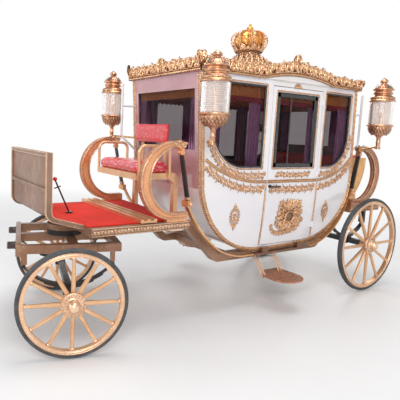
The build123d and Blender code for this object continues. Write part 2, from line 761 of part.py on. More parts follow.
def dashboard():
    """Folded dash: a web inside raised borders, with one rail across it."""
    web = plate(dash_outline(dash_depth - 20 - dash_web, dash_depth - 20), -dash_half, dash_half)
    full = dash_outline(0, dash_depth)
    borders = [plate(full, s * dash_half - 10, s * dash_half + 10) for s in (-1, 1)]
    x0, x1 = dash_front_x - dash_depth, dash_front_x
    rails = [block(x0, x1, -dash_half, dash_half, z - 14, z + 14) for z in (dash_top - 14, 1190)]
    return joined([web] + borders + rails)


def carpet():
    """Red carpet over the driver's platform and up the footboard."""
    half = spring_y - spring_w / 2 - 4
    floor = block(deck_rear_x + 4, deck_front_x, -half, half, deck_top, deck_top + carpet_t)
    half = dash_half - 10 - face_play
    sweep = plate(dash_outline(dash_depth - 20, dash_depth + 2), -half, half)
    sweep &= block(deck_front_x, dash_front_x, -half, half, 800, 1060)
    return joined([floor, sweep])


def brake():
    """Hand brake lever with its ball and latch on a foot, behind the dashboard."""
    (x, y), (top_x, top_z), foot_z = brake_foot, brake_top, deck_top + carpet_t
    lever = rod((x, y, foot_z + 8), (top_x, y, top_z - 7), 7)
    ball = Pos(top_x, y, top_z) * Sphere(18)
    latch = rod((top_x - 62, y - 30, top_z - 66), (top_x + 8, y + 6, top_z - 78), 5)
    base = block(x - 26, x + 26, y - 16, y + 16, foot_z, foot_z + 14)
    return joined([lever, ball, latch, base])


# Seats


def driver_seat_frame():
    """Bent tube seat: box rail, arms, legs with a stretcher and the two back stays."""
    x0, x1 = seat_x
    floor_z = deck_top + carpet_t
    rail = block(x0 + 6, x1 - 6, -seat_half, seat_half, seat_z - 54, seat_z)
    rail -= block(x0 + 36, x1 - 36, -seat_half + 30, seat_half - 30, seat_z - 60, seat_z - 10)
    pieces = [rail]
    ya = seat_half + 15
    for s in (-1, 1):
        arm = [(x1 - 24, s * ya, seat_z - 40), (x1 - 24, s * ya, 1525), (x0 + 30, s * ya, 1525),
               (x0 + 30, s * ya, seat_z - 40)]
        pieces.append(tube(arm, 60, Circle(13)))
        for x in (x0 + 30, x1 - 24):
            y_low, y_high = sorted((s * (seat_half - 4), s * ya))
            pieces.append(block(x - 12, x + 12, y_low, y_high, seat_z - 46, seat_z - 14))
        stay_y = s * 190
        post_y = sorted((s * (seat_half - 50), s * seat_half))
        back = deck_rear_x - post_d
        knee = outline((x0 + 10, seat_z), (x0 + 10, seat_z - 54), (deck_rear_x + 44, seat_z - 54),
                       (deck_rear_x, seat_z - 98), (deck_rear_x, deck_top - deck_h + 4),
                       (back, deck_top - deck_h + 4), (back, seat_z - 40), (back + 40, seat_z))
        pieces.append(plate(knee, *post_y))
        pieces.append(block(x0 - 48, x0 - 34, stay_y - 20, stay_y + 20, seat_z - 50, 1640))
        pieces.append(block(x0 - 48, x0 + 12, stay_y - 20, stay_y + 20, seat_z - 50, seat_z - 22))
    # the sill that the front legs stand on, with two bars for the heels
    sill_x, sill_top = x1 - 91, floor_z + 16
    pieces.append(block(sill_x, sill_x + sill_w, -sill_half_y, sill_half_y, floor_z, sill_top))
    for x in (sill_x, sill_x + sill_w / 2 - 14, sill_x + sill_w - 28):
        pieces.append(block(x, x + 28, -sill_half_y, sill_half_y, sill_top - 1, sill_top + 14))
    return joined(pieces)


def pad(x_low, x_high, y_low, y_high, z_low, z_high, r):
    """Plain soft block with rounded upright edges."""
    body = block(x_low, x_high, y_low, y_high, z_low, z_high)
    return fillet(body.edges().filter_by(Axis.Z), r)


def driver_seat_cushions():
    """Seat cushion and the narrower back cushion."""
    x0, x1 = seat_x
    return apart([pad(x0, x1, -seat_half, seat_half, seat_z, seat_z + 93, 30),
                  pad(x0 - 34, x0 + 18, -279, 279, 1541, 1725, 12)])


def rear_seat_frame():
    """Footman's seat: two shaped sides, a board and a pedestal on the rear platform."""
    face = outline((-10, 1438), (-316, 1438), (-270, 1180, -168, 1030), (-168, 1000), (-60, 1000),
                   (-60, 1030))
    sides = [plate(face, *sorted((s * rear_seat_half, s * (rear_seat_half - 20)))) for s in (-1, 1)]
    board = block(-300, -20, -rear_seat_half + 10, rear_seat_half - 10, 1388, 1404)
    foot = [block(-170, -58, *sorted((s * (rear_seat_half + 6), s * (rear_seat_half - 40))), deck_top, 1004)
            for s in (-1, 1)]
    stretcher = block(-128, -100, -rear_seat_half + 10, rear_seat_half - 10, 1040, 1080)
    return joined(sides + [board, stretcher] + foot)


def rear_seat_cushion():
    """Cushion between the sides of the footman's seat."""
    h = rear_seat_half - 20 - face_play
    return pad(-306, -14, -h, h, 1404, 1466, 20)


def benches():
    """Two facing bench boxes on the tub's floor."""
    room = plate(body_profile(body_wall + face_play), -body_half, body_half)
    room &= cross_section(body_wall + face_play)
    floor_z = keel_z + body_wall
    pieces = []
    for x0, x1 in ((rear_waist_x, bench_x[0]), (bench_x[1], front_waist_x)):
        pieces.append(room & block(x0, x1, -body_half, body_half, floor_z, bench_top))
    return apart(pieces)


def cabin_cushions():
    """Seat and back cushion on each bench."""
    h = body_half - body_wall - 14
    z0, z1 = bench_top, bench_top + 120
    room = plate(body_profile(body_wall + face_play), -body_half, body_half)
    room &= cross_section(body_wall + face_play)
    out = []
    for seat, back in (((rear_waist_x, bench_x[0] - 10), (rear_waist_x, 320)),
                       ((bench_x[1] + 10, front_waist_x), (2100, front_top_x))):
        out.append(room & block(*seat, -h, h, z0, z1))
        out.append(room & block(*back, -h, h, z1 + face_play, cushion_top))
    return apart(out)


def drapes():
    """Pelmets round the top of the cabin and a tied curtain at each corner."""
    y = body_half - body_wall - drape_gap
    z1, z0 = body_top - body_wall - face_play, pelmet_z
    (rear, front), t = pelmet_x, pelmet_t
    out = [block(rear, front, *sorted((s * y, s * (y - t))), z0, z1) for s in (-1, 1)]
    half = y - t - face_play
    out += [block(x, x + t, -half, half, z0, z1) for x in (rear, front - t)]
    for x in (rear + 22, front - 34 - curtain_w):
        out += [block(x, x + curtain_w, *sorted((s * y, s * (y - curtain_t))), cushion_top + 10,
                      z0 - face_play) for s in (-1, 1)]
    return apart(out)


# Lamps, rails and steps


def lamp(x, side):
    """Lamp on its post: cup, four stays, stepped cap and finial, and the iron that holds it."""
    cup, cap = turned(lamp_foot_to_cup), turned(lamp_cap)
    r, middle = lamp_r - 16, (glass_low + glass_high) / 2
    stays = [Pos(r * cos(radians(a)), r * sin(radians(a)), middle) * Cylinder(4, glass_high - glass_low + 4)
             for a in (45, 135, 225, 315)]
    candle = Pos(0, 0, glass_low + 60) * Cylinder(16, 124)
    head = Pos(x, side * lamp_y, lamp_foot_z) * joined([cup, cap, candle] + stays)
    # the front lamps are held by the body, the rear ones by the springs
    end_x, end_y, end_z = (2185, body_half, 1570) if x > 1000 else (95, spring_y + spring_w / 2, 1535)
    arm = rod((x, side * lamp_y, lamp_foot_z + 24), (end_x, side * (end_y + 4), end_z), 10)
    rose = Pos(end_x, side * (end_y + 5 + face_play), end_z) * (Rot(90, 0, 0) * Cylinder(20, 10))
    near = end_y + (face_play if x < 1000 else 0)
    keep = block(-500, 3500, *sorted((side * near, side * 1200)), 1000, 3000)
    return joined([head, arm, rose]) & keep


def lamp_glass(x, side):
    """Fluted glass chimney between cup and cap."""
    h = glass_high - glass_low
    chimney = Cylinder(lamp_r, h) - Cylinder(lamp_r - 5, h + 2)
    return Pos(x, side * lamp_y, lamp_foot_z + (glass_low + glass_high) / 2) * chimney


def grab_rail(end, side):
    """White rail: an upright, a rung to the body and a foot bent back to it."""
    if end == "front":
        f, x_low, x_high, z_low = 1, front_waist_x, front_top_x, waist_z
    else:
        f, x_low, x_high, z_low = -1, rear_waist_x, rear_top_x, rear_waist_z
    z_foot, z_knee, z_rung, z_top = rail_heights[end]
    x_at = lambda z: x_low + (x_high - x_low) * (z - z_low) / (body_top - z_low)
    x = x_at(z_rung) + f * rail_off
    pole = tube([(x, side * rail_y, z_top), (x, side * rail_y, z_knee),
                 (x_at(z_foot) - f * 12, side * rail_y, z_foot - 8)], 70, Circle(rail_r))
    rung = rod((x, side * rail_y, z_rung), (x_at(z_rung) - f * 10, side * rail_y, z_rung), rail_r - 2)
    ball = Pos(x, side * rail_y, z_top) * Sphere(rail_r + 3)
    return joined([pole, rung, ball]) - Body.outer


def side_step(side):
    """Half-round tread hung from the perch on two pairs of struts."""
    (x0, x1), (y0, y1) = step_x, step_y
    c, cut = 150, 120
    ring = [Line((x0 + 30, y0), (x1 - cut, y0)), Line((x1 - cut, y0), (x1, y0 + cut)),
            Line((x1, y0 + cut), (x1, y1 - c)),
            ThreePointArc((x1, y1 - c), (x1 - c * 0.293, y1 - c * 0.293), (x1 - c, y1)),
            Line((x1 - c, y1), (x0 + c, y1)),
            ThreePointArc((x0 + c, y1), (x0 + c * 0.293, y1 - c * 0.293), (x0, y1 - c)),
            Line((x0, y1 - c), (x0, y0 + 30)), Line((x0, y0 + 30), (x0 + 30, y0))]
    tread = Pos(0, 0, step_z) * extrude(make_face(ring), 14, dir=(0, 0, 1))
    wall = perch_y + perch_w / 2
    struts = []
    for x, y in step_struts:
        for dx in (-17, 17):
            struts.append(rod((x + dx, wall - 30, perch_low + perch_h - 14), (x + dx, y, step_z + 4), 8))
        struts.append(block(x - 28, x + 28, wall - 2, wall + 8, perch_low + 10, perch_low + perch_h - 10))
    whole = joined([tread] + struts) & block(0, 3000, wall, 1200, step_z, 900)
    return whole if side > 0 else mirrored(whole)


# Rear running gear


def rear_axle():
    """Axle beam with its two springs clamped on top and their hangers under the platform."""
    beam = axle(rear_track, rear_wheel_r, rear_spring_y, rear_leaf_z, leaves)
    springs = [leaf_spring(rear_eye_x, rear_eye_z, rear_leaf_z, s * rear_spring_y, leaves) for s in (-1, 1)]
    hangers = []
    for s in (-1, 1):
        y = sorted((s * (rear_spring_y + 23), s * (perch_y + 4)))
        hangers.append(block(-rear_eye_x - 18, -rear_eye_x + 18, *y, rear_eye_z, deck_top - deck_h))
        hangers.append(block(rear_eye_x - 16, rear_eye_x + 16, *y, rear_eye_z, rear_eye_z + 66))
    return joined([beam] + springs + hangers) - perch()


def front_axle():
    """Front axle beam with its springs."""
    beam = axle(front_track, front_wheel_r, front_spring_y, front_leaf_z, leaves)
    springs = [leaf_spring(front_eye_x, front_eye_z, front_leaf_z, s * front_spring_y, leaves)
               for s in (-1, 1)]
    return joined([beam] + springs)


def steered(shape):
    """Turn a fore-carriage piece to the lock it is parked on and put it at the king pin."""
    return Pos(wheelbase, 0, 0) * (Rot(0, 0, steer_at_rest) * shape)


def build():
    """Every node by name."""
    nodes = {
        "perch_frame": perch(),
        "driver_platform": driver_platform(),
        "rear_platform": deck(boot_rear_x, boot_front_x),
        "platform_carpet": carpet(),
        "dashboard": dashboard(),
        "brake_lever": brake(),
        "leather_straps": apart([strap(s, e) for s in (1, -1) for e in strap_ends]),
        "body_irons": apart([body_iron(s) for s in (1, -1)]),
        "floor_pan": floor_pan(),
        "front_wall": end_wall("front"),
        "rear_wall": end_wall("rear"),
        "roof": roof(),
        "roof_cresting": cresting(),
        "roof_crown": crown(),
        "window_glass": apart([pane(n, s) for n in ("front", "rear") for s in (1, -1)]
                              + [end_pane("front"), end_pane("rear")]),
        "cabin_benches": benches(),
        "cabin_cushions": cabin_cushions(),
        "window_drapes": drapes(),
        "driver_seat_frame": driver_seat_frame(),
        "driver_seat_cushions": driver_seat_cushions(),
        "rear_seat_frame": rear_seat_frame(),
        "rear_seat_cushion": rear_seat_cushion(),
        "lamps": apart([lamp(x, s) for x in lamp_x for s in (1, -1)]),
        "lamp_glasses": apart([lamp_glass(x, s) for x in lamp_x for s in (1, -1)]),
        "grab_rails": apart([grab_rail("front", -1), grab_rail("rear", 1), grab_rail("rear", -1)]),
        "side_steps": apart([side_step(s) for s in (1, -1)]),
        "rear_axle": rear_axle(),
        "fore_frame": steered(fore_frame()),
        "turntable": steered(turntable()),
        "front_axle": steered(front_axle()),
    }
    for name, side, facing in (("front_left", 1, 1), ("front_right", -1, 1),
                               ("rear_left", 1, -1), ("rear_right", -1, -1)):
        nodes[name + "_c_spring"] = c_spring(side, facing)
        nodes[name + "_quarter"] = quarter(side, name.split("_")[0])
        radius, track = (front_wheel_r, front_track) if facing > 0 else (rear_wheel_r, rear_track)
        for part, solid in (("wheel", wheel(radius)), ("tyre", tyre(radius))):
            solid = solid if side > 0 else mirrored(solid)
            solid = Pos(0, side * track / 2, radius) * solid
            nodes[name + "_" + part] = steered(solid) if facing > 0 else solid
    for name, side in (("left", 1), ("right", -1)):
        nodes[name + "_door"] = door(side)
        nodes[name + "_door_glass"] = pane("door", side)
        nodes[name + "_door_handle"] = door_handle(side)
    return nodes


os.makedirs("parts", exist_ok=True)
for node, shape in build().items():
    export_step(Pos(rear_axle_x, 0, 0) * shape, "parts/" + node + ".step")
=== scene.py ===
import json
from math import cos, pi, radians, sin, sqrt

import bpy
import numpy as np
from mathutils import Matrix, Vector

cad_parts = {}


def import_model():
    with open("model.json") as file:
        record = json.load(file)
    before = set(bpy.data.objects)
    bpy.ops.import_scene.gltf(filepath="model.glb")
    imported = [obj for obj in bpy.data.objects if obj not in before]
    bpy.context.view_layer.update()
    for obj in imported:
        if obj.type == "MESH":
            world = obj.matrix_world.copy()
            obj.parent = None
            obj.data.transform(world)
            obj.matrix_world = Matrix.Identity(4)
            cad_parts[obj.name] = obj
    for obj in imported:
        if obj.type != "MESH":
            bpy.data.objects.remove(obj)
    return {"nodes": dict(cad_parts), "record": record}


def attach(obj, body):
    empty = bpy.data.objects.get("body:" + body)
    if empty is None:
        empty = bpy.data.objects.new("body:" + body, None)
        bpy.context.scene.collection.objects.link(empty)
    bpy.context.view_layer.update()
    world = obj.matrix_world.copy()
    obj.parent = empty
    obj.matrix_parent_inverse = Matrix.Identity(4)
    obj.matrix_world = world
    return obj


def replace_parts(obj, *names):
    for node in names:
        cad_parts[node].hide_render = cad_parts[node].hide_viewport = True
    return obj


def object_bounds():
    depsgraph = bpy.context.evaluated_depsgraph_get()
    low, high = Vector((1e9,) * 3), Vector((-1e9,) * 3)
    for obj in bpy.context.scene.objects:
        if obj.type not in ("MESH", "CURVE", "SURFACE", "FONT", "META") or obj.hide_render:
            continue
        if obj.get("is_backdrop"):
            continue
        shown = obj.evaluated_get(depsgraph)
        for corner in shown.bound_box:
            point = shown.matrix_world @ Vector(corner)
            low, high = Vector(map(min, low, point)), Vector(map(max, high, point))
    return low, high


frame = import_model()
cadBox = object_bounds()
nodes = frame["nodes"]
rng = np.random.default_rng(7)
print("stage: frame loaded")

# Places are in mm from the rear axle, as in the CAD source; world() moves and scales them.
sides = ((1, "left"), (-1, "right"))
rearAxleX = -1660
wheelbase = 3245
steerAtRest = radians(-16.2)
tub = {"half": 558, "sill": 511, "waist": 1168, "sillZ": 538}
tubLine = [(190, 2160), (166, 1262), (332, 798, 770, 575), (1140, 548, 1500, 552), (1834, 632, 2100, 848),
           (2190, 999, 2241, 1168), (2304, 2160)]
doorway = {"front": 1455, "rear": 737}
cornice = {"rise": 57, "from": 645, "to": 1600}


# metres in the shared frame from mm counted along the carriage from the rear axle
def world(points):
    p = np.asarray(points, float) * 0.001
    p[..., 0] += rearAxleX * 0.001
    return p


# the same for a fore-carriage piece drawn straight ahead about the king pin
def steered(points):
    p = np.array(points, float)
    c, s = cos(steerAtRest), sin(steerAtRest)
    x = p[..., 0] * c - p[..., 1] * s + wheelbase
    y = p[..., 0] * s + p[..., 1] * c
    return world(np.stack([x, y, p[..., 2]], -1))


# Paths in the plane

# points of the arc a-m-b
def arcThrough(a, m, b, count=24):
    a, m, b = complex(*a), complex(*m), complex(*b)
    p, q = m - a, b - a
    cross = p.real * q.imag - p.imag * q.real
    centre = a - 1j * (abs(p) ** 2 * q - abs(q) ** 2 * p) / (2 * cross)
    start, end = np.angle(a - centre), np.angle(b - centre)
    turn = (end - start) % (2 * pi)
    if cross < 0:
        turn -= 2 * pi
    t = start + turn * np.linspace(0, 1, count)
    z = centre + abs(a - centre) * np.exp(1j * t)
    return pairs(z.real, z.imag)


# dense points along lines (x, z) and arcs (xm, zm, x, z)
def chain(steps, pitch=12.0):
    out, here = [np.array([steps[0]], float)], steps[0]
    for step in steps[1:]:
        end = step[-2:]
        if len(step) == 2:
            n = max(2, int(np.hypot(end[0] - here[0], end[1] - here[1]) / pitch))
            out.append(np.linspace(here, end, n + 1)[1:])
        else:
            length = np.hypot(end[0] - here[0], end[1] - here[1])
            out.append(arcThrough(here, step[:2], end, max(8, int(length * 1.15 / pitch)))[1:])
        here = end
    return np.concatenate(out)


# catmull-Rom curve through a few points, evenly sampled
def smooth(points, count):
    p = np.asarray(points, float)
    p = np.vstack([2 * p[0] - p[1], p, 2 * p[-1] - p[-2]])
    t = np.linspace(0, len(p) - 3 - 1e-9, count * 4)
    i = t.astype(int)
    f = (t - i)[:, None]
    a, b, c, d = p[i], p[i + 1], p[i + 2], p[i + 3]
    q = 0.5 * (2 * b + (c - a) * f + (2 * a - 5 * b + 4 * c - d) * f ** 2 + (3 * b - a - 3 * c + d)
               * f ** 3)
    return evenly(q, count)


# the path resampled at equal steps
def evenly(path, count):
    path = np.asarray(path, float)
    s = wayAlong(path)
    t = np.linspace(0, s[-1], count)
    return np.stack([np.interp(t, s, path[:, k]) for k in range(path.shape[1])], -1)


# how far along the path each of its points lies
def wayAlong(path):
    return np.r_[0, np.cumsum(np.linalg.norm(np.diff(np.asarray(path, float), axis=0), axis=1))]


def lengthOf(path):
    return float(np.linalg.norm(np.diff(np.asarray(path, float), axis=0), axis=1).sum())


# angles that share out a full turn
def fullTurn(count):
    return np.linspace(0, 2 * pi, count, endpoint=False)


# places that share out a length, each in the middle of its share
def spaced(count, length):
    return (np.arange(count) + 0.5) * length / count


# -1, 1, -1, 1 and so on
def byTurns(count):
    return np.where(np.arange(count) % 2, 1, -1)


# points (a, b), where either may be one number for all
def pairs(a, b):
    return np.stack(np.broadcast_arrays(np.asarray(a, float), np.asarray(b, float)), -1)


# unit left normals of a plane path
def normals(path, closed=False):
    path = np.asarray(path, float)
    if closed:
        t = np.roll(path, -1, 0) - np.roll(path, 1, 0)
    else:
        t = np.gradient(path, axis=0)
    t /= np.maximum(np.linalg.norm(t, axis=1, keepdims=True), 1e-9)
    return pairs(-t[:, 1], t[:, 0])


def shifted(path, d, closed=False):
    return np.asarray(path, float) + normals(path, closed) * d


# Meshes

# quads of an a by b grid of points
def gridFaces(a, b, wrapA=False, wrapB=False):
    i = np.arange(a if wrapA else a - 1)[:, None]
    j = np.arange(b if wrapB else b - 1)[None, :]
    i2, j2 = (i + 1) % a, (j + 1) % b
    return np.stack([i * b + j, i2 * b + j, i2 * b + j2, i * b + j2], -1).reshape(-1, 4)


# A new object for this data, put in the scene
def linked(name, data):
    obj = bpy.data.objects.new(name, data)
    bpy.context.scene.collection.objects.link(obj)
    return obj


# gathers surfaces of one piece, as points in mm with their quads
class Pile:
    def __init__(self):
        self.points, self.faces, self.lift, self.count = [], [], [], 0

    def add(self, points, faces, lift=None):
        p = np.asarray(points, float).reshape(-1, 3)
        self.points.append(p)
        self.faces.append(np.asarray(faces) + self.count)
        self.lift.append(np.ones(len(p)) if lift is None else np.asarray(lift, float).ravel())
        self.count += len(p)

    def grid(self, p, wrapA=False, wrapB=False, lift=None):
        self.add(p, gridFaces(p.shape[0], p.shape[1], wrapA, wrapB), lift)

    # makes the object, finishes it and lets it ride on a body
    def build(self, name, material, body, slotName, place=world, flat=False):
        p = place(np.concatenate(self.points))
        quads = np.concatenate(self.faces).astype(np.int32)
        mesh = bpy.data.meshes.new(name)
        mesh.vertices.add(len(p))
        mesh.vertices.foreach_set("co", p.astype(np.float32).ravel())
        mesh.loops.add(quads.size)
        mesh.loops.foreach_set("vertex_index", quads.ravel())
        mesh.polygons.add(len(quads))
        mesh.polygons.foreach_set("loop_start", np.arange(0, quads.size, 4, dtype=np.int32))
        mesh.update(calc_edges=True)
        mesh.validate()
        mesh.polygons.foreach_set("use_smooth", np.full(len(mesh.polygons), not flat))
        # the lift, how high each point stands in its relief, later darkens low places: patina, and
        # painted shade in the hollows
        lift = mesh.attributes.new("lift", "FLOAT", "POINT")
        lift.data.foreach_set("value", np.concatenate(self.lift).astype(np.float32))
        obj = linked(name, mesh)
        obj.data.materials.append(material)
        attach(obj, body)
        return obj


# half-round strip laid on a surface; pitch and wave turn it into a row of beads, slant into a twisted
# rope
def ribbon(pile, path, width, height, mapping, closed=False, sides=0, pitch=0.0, wave=0.0, base=0.0,
           taper=0, slant=0.0):
    path = np.asarray(path, float)
    s = wayAlong(path)
    scale = np.ones(len(path))
    if pitch:
        scale = 1 - wave + wave * np.abs(np.sin(pi * s / pitch))
    if taper:
        scale = scale * np.interp(s / s[-1], [0, taper, 1 - taper, 1], [0.15, 1, 1, 0.15])
    a = np.linspace(0, pi, sides or (5 if slant else 4))
    n = normals(path, closed)
    lateral = (width / 2) * scale[:, None] * np.cos(a)[None, :]
    h = base + height * scale[:, None] * np.sin(a)[None, :]
    if slant:
        groove = np.abs(np.sin(pi * (s[:, None] + slant * np.cos(a)[None, :] * width / 2) / pitch))
        lateral = (width / 2) * np.cos(a)[None, :] + 0 * groove
        h = base + height * (1 - wave + wave * groove) * np.sin(a)[None, :]
    uv = path[:, None, :] + n[:, None, :] * lateral[:, :, None]
    p = mapping(np.concatenate([uv, h[..., None]], -1))
    # on a twisted rope the lift follows the grooves, so painted shade falls into them
    tone = (h / (base + height)) if not slant else np.maximum(groove, 0.15) * np.sin(a)[None, :] ** 0.3
    pile.grid(p, wrapA=closed, lift=tone)


# round bar along points in space
def tube(pile, path, radius, sides=8, up=(0, 0, 1), closed=False, flat=1.0):
    path = np.asarray(path, float)
    t = (np.roll(path, -1, 0) - np.roll(path, 1, 0)) if closed else np.gradient(path, axis=0)
    t /= np.maximum(np.linalg.norm(t, axis=1, keepdims=True), 1e-9)
    side = np.cross(t, np.asarray(up, float))
    side /= np.maximum(np.linalg.norm(side, axis=1, keepdims=True), 1e-9)
    over = np.cross(side, t)
    a = fullTurn(sides)
    r = np.broadcast_to(np.asarray(radius, float), (len(path),))[:, None, None]
    ring = side[:, None, :] * np.cos(a)[None, :,
                                        None] + flat * over[:, None, :] * np.sin(a)[None, :, None]
    pile.grid(path[:, None, :] + r * ring, wrapA=closed, wrapB=True)
    if not closed:
        for end in (0, -1):
            cap = np.stack([path[end][None, :] + r[end] * ring[end],
                            np.repeat(path[end][None, :], sides, 0)])
            pile.grid(cap, wrapB=True)


# surface of revolution from (radius, height) points, fluted if asked
def turned(pile, profile, centre=(0, 0, 0), axis=2, sides=24, flutes=0, depth=0.0):
    prof = np.asarray(profile, float)
    a = fullTurn(sides)
    swell = 1 + depth * np.abs(np.sin(flutes * a / 2)) if flutes else np.ones(sides)
    r = prof[:, 0:1] * swell[None, :]
    p = np.stack([r * np.cos(a), r * np.sin(a), np.broadcast_to(prof[:, 1:2], r.shape)], -1)
    if axis == 1:
        p = p[..., [0, 2, 1]]
    if axis == 0:
        p = p[..., [2, 0, 1]]
    pile.grid(p + np.asarray(centre, float), wrapB=True)


# Templates that are scattered over a surface: (length, side, lift) from 0 to 1

# acanthus leaf with a ridge, lobed edges and a lifted tip
def leafTemplate(lobes=3, curl=0.25, rows=7, columns=5):
    t = np.linspace(0, 1, rows)[:, None]
    v = np.linspace(-1, 1, columns)[None, :]
    edge = np.sin(pi * np.clip(t, 0, 1) ** 0.75) ** 0.8 * (1 + 0.28 * np.cos(2 * pi * lobes * t))
    x = t - 0.07 * np.abs(v) * np.cos(2 * pi * lobes * t)
    y = 0.5 * edge * v
    h = (1 - 0.75 * np.abs(v)) * np.sin(pi * np.clip(t, 0.02, 0.93)) ** 0.5 + curl * t ** 3 * (1 - v * v)
    h = h - 0.16 * (v == 0)
    return np.stack([x + 0 * v, y, h], -1), gridFaces(rows, columns)


# half bead
def beadTemplate(rings=3, sides=6):
    a = np.linspace(0, pi / 2, rings)[:, None]
    b = fullTurn(sides)[None, :]
    p = np.stack([np.cos(a) * np.cos(b), np.cos(a) * np.sin(b), np.sin(a) + 0 * b], -1)
    return p, gridFaces(rings, sides, wrapB=True)


# open rosette with a raised eye
def flowerTemplate(petals=5):
    a = fullTurn(petals * 4)[None, :]
    r = np.array([0.0, 0.2, 0.3, 0.65, 1.0])[:, None]
    lobe = 0.62 + 0.38 * np.abs(np.sin(petals * a / 2)) ** 0.6
    h = np.array([1.0, 0.85, 0.45, 0.75, 0.1])[:, None] * (0.75 + 0.25 * np.abs(np.sin(petals * a / 2)))
    rr = np.where(r > 0.3, r * lobe, r)
    p = np.stack([rr * np.cos(a), rr * np.sin(a), h + 0 * a], -1)
    return p, gridFaces(5, petals * 4, wrapB=True)


# A curl from its stem at the origin, running along +x and winding up
def scrollPath(turns=1.15, count=12):
    t = np.linspace(0, 1, count)
    a = -pi / 2 + 2 * pi * turns * t
    r = 0.5 * (1 - t) ** 0.8 + 0.05
    z = 0.5j + r * np.exp(1j * a)
    p = pairs(z.real, z.imag)
    return p - p[0]


leafForm = leafTemplate()
budForm = leafTemplate(1, 0.1, 6, 3)
beadForm = beadTemplate()
flowerForm = flowerTemplate()


# many copies of a form: places (n, 2), angles (n,), sizes (n, 2) as length and width
def scatter(pile, form, at, angle, size, mapping, lift, mirror=None):
    template, faces = form
    p = template.reshape(-1, 3)
    at, angle = np.atleast_2d(at).astype(float), np.atleast_1d(angle).astype(float)
    n = len(at)
    size = np.broadcast_to(np.asarray(size, float), (n, 2))
    lift = np.broadcast_to(np.asarray(lift, float), (n,))
    sideways = np.ones(n) if mirror is None else np.asarray(mirror, float)
    x = p[None, :, 0] * size[:, :1]
    y = p[None, :, 1] * size[:, 1:] * sideways[:, None]
    c, s = np.cos(angle)[:, None], np.sin(angle)[:, None]
    u = at[:, :1] + x * c - y * s
    w = at[:, 1:] + x * s + y * c
    h = p[None, :, 2] * lift[:, None]
    points = mapping(np.stack([u, w, h], -1))
    offsets = (np.arange(n) * len(p))[:, None, None]
    pile.add(points, (faces[None] + offsets).reshape(-1, 4), np.broadcast_to(p[:, 2], (n, len(p))))


# copies of a tapering scroll with a bead at its eye
def curls(pile, at, angle, size, mapping, lift, width, mirror=None, turns=1.15):
    path, at = scrollPath(turns), np.atleast_2d(at)
    flips = 1 if mirror is None else mirror
    for place, a, s, flip in zip(at, *(np.broadcast_to(v, (len(at),)) for v in (angle, size, flips))):
        q = path * [s, s * flip]
        rot = np.array([[cos(a), -sin(a)], [sin(a), cos(a)]])
        q = q @ rot.T + place
        n = normals(q)
        taper = np.linspace(1, 0.45, len(q))
        t = np.linspace(0, pi, 4)
        lateral = (width / 2) * taper[:, None] * np.cos(t)[None, :]
        h = lift * taper[:, None] * np.sin(t)[None, :]
        uv = q[:, None, :] + n[:, None, :] * lateral[:, :, None]
        pile.grid(mapping(np.concatenate([uv, h[..., None]], -1)), lift=h / lift)
        scatter(pile, beadForm, q[-1:], [0], (width * 0.62, width * 0.62), mapping, lift * 0.9)


# Surfaces that ornament is laid on: (a, b, lift) to (x, y, z)

def sideY(z):
    drop = tub["half"] - tub["sill"]
    r = ((tub["waist"] - tub["sillZ"]) ** 2 + drop ** 2) / (2 * drop)
    return tub["half"] - r + np.sqrt(r * r - np.minimum(0, z - tub["waist"]) ** 2)


def onSide(side, sink=0.6):
    return lambda p: np.stack([p[..., 0], side * (sideY(p[..., 1]) + p[..., 2] - sink), p[..., 1]], -1)


# upright plane facing sideways
def onWall(y, side=1, sink=0.4):
    return lambda p: np.stack([p[..., 0], side * (y + p[..., 2] - sink), p[..., 1]], -1)


# upright plane facing fore or aft; the first number runs across the carriage
def onEnd(x, facing=1, sink=0.4):
    return lambda p: np.stack([x + facing * (p[..., 2] - sink), p[..., 0], p[..., 1]], -1)


# upright ring: angle a / radius, reach radius + lift + lean * b, height z + b
def onRing(centre, radius, z, lean=0.0):
    def to(p):
        reach, turn = radius + p[..., 2] + lean * p[..., 1], p[..., 0] / radius
        return np.stack([centre[0] + reach * np.cos(turn), centre[1] + reach * np.sin(turn),
                         z + p[..., 1]], -1)
    return to


tubPath = chain(tubLine, 10)
tubS = wayAlong(tubPath)
tubN = -normals(tubPath)


# the tub's ends and keel: the first number is the way along its side view, the second across
def onShell(p):
    s = p[..., 0]
    h = p[..., 2] - 0.6
    x = np.interp(s, tubS, tubPath[:, 0]) + h * np.interp(s, tubS, tubN[:, 0])
    z = np.interp(s, tubS, tubPath[:, 1]) + h * np.interp(s, tubS, tubN[:, 1])
    return np.stack([x, p[..., 1], z], -1)


# Materials

def nodeTree(name):
    material = bpy.data.materials.new(name)
    material.use_nodes = True
    tree = material.node_tree
    shader = tree.nodes["Principled BSDF"]
    where = tree.nodes.new("ShaderNodeTexCoord").outputs["Object"]
    return material, tree, shader, where


def noise(tree, where, scale, detail=3.0, roughness=0.55, stretch=None):
    if stretch:
        mapping = tree.nodes.new("ShaderNodeMapping")
        mapping.inputs["Scale"].default_value = stretch
        tree.links.new(where, mapping.inputs["Vector"])
        where = mapping.outputs["Vector"]
    node = tree.nodes.new("ShaderNodeTexNoise")
    node.inputs["Scale"].default_value = scale
    node.inputs["Detail"].default_value = detail
    node.inputs["Roughness"].default_value = roughness
    tree.links.new(where, node.inputs["Vector"])
    return node.outputs["Fac"]


def ramp(tree, value, stops):
    node = tree.nodes.new("ShaderNodeValToRGB")
    elements = node.color_ramp.elements
    while len(elements) < len(stops):
        elements.new(0.5)
    for element, (place, color) in zip(elements, stops):
        element.position = place
        element.color = (*color, 1) if len(color) == 3 else color
    tree.links.new(value, node.inputs["Fac"])
    return node.outputs["Color"]


def spread(tree, value, low, high, fromLow=0.3, fromHigh=0.7):
    node = tree.nodes.new("ShaderNodeMapRange")
    for key, number in (("From Min", fromLow), ("From Max", fromHigh), ("To Min", low), ("To Max", high)):
        node.inputs[key].default_value = number
    tree.links.new(value, node.inputs["Value"])
    return node.outputs["Result"]


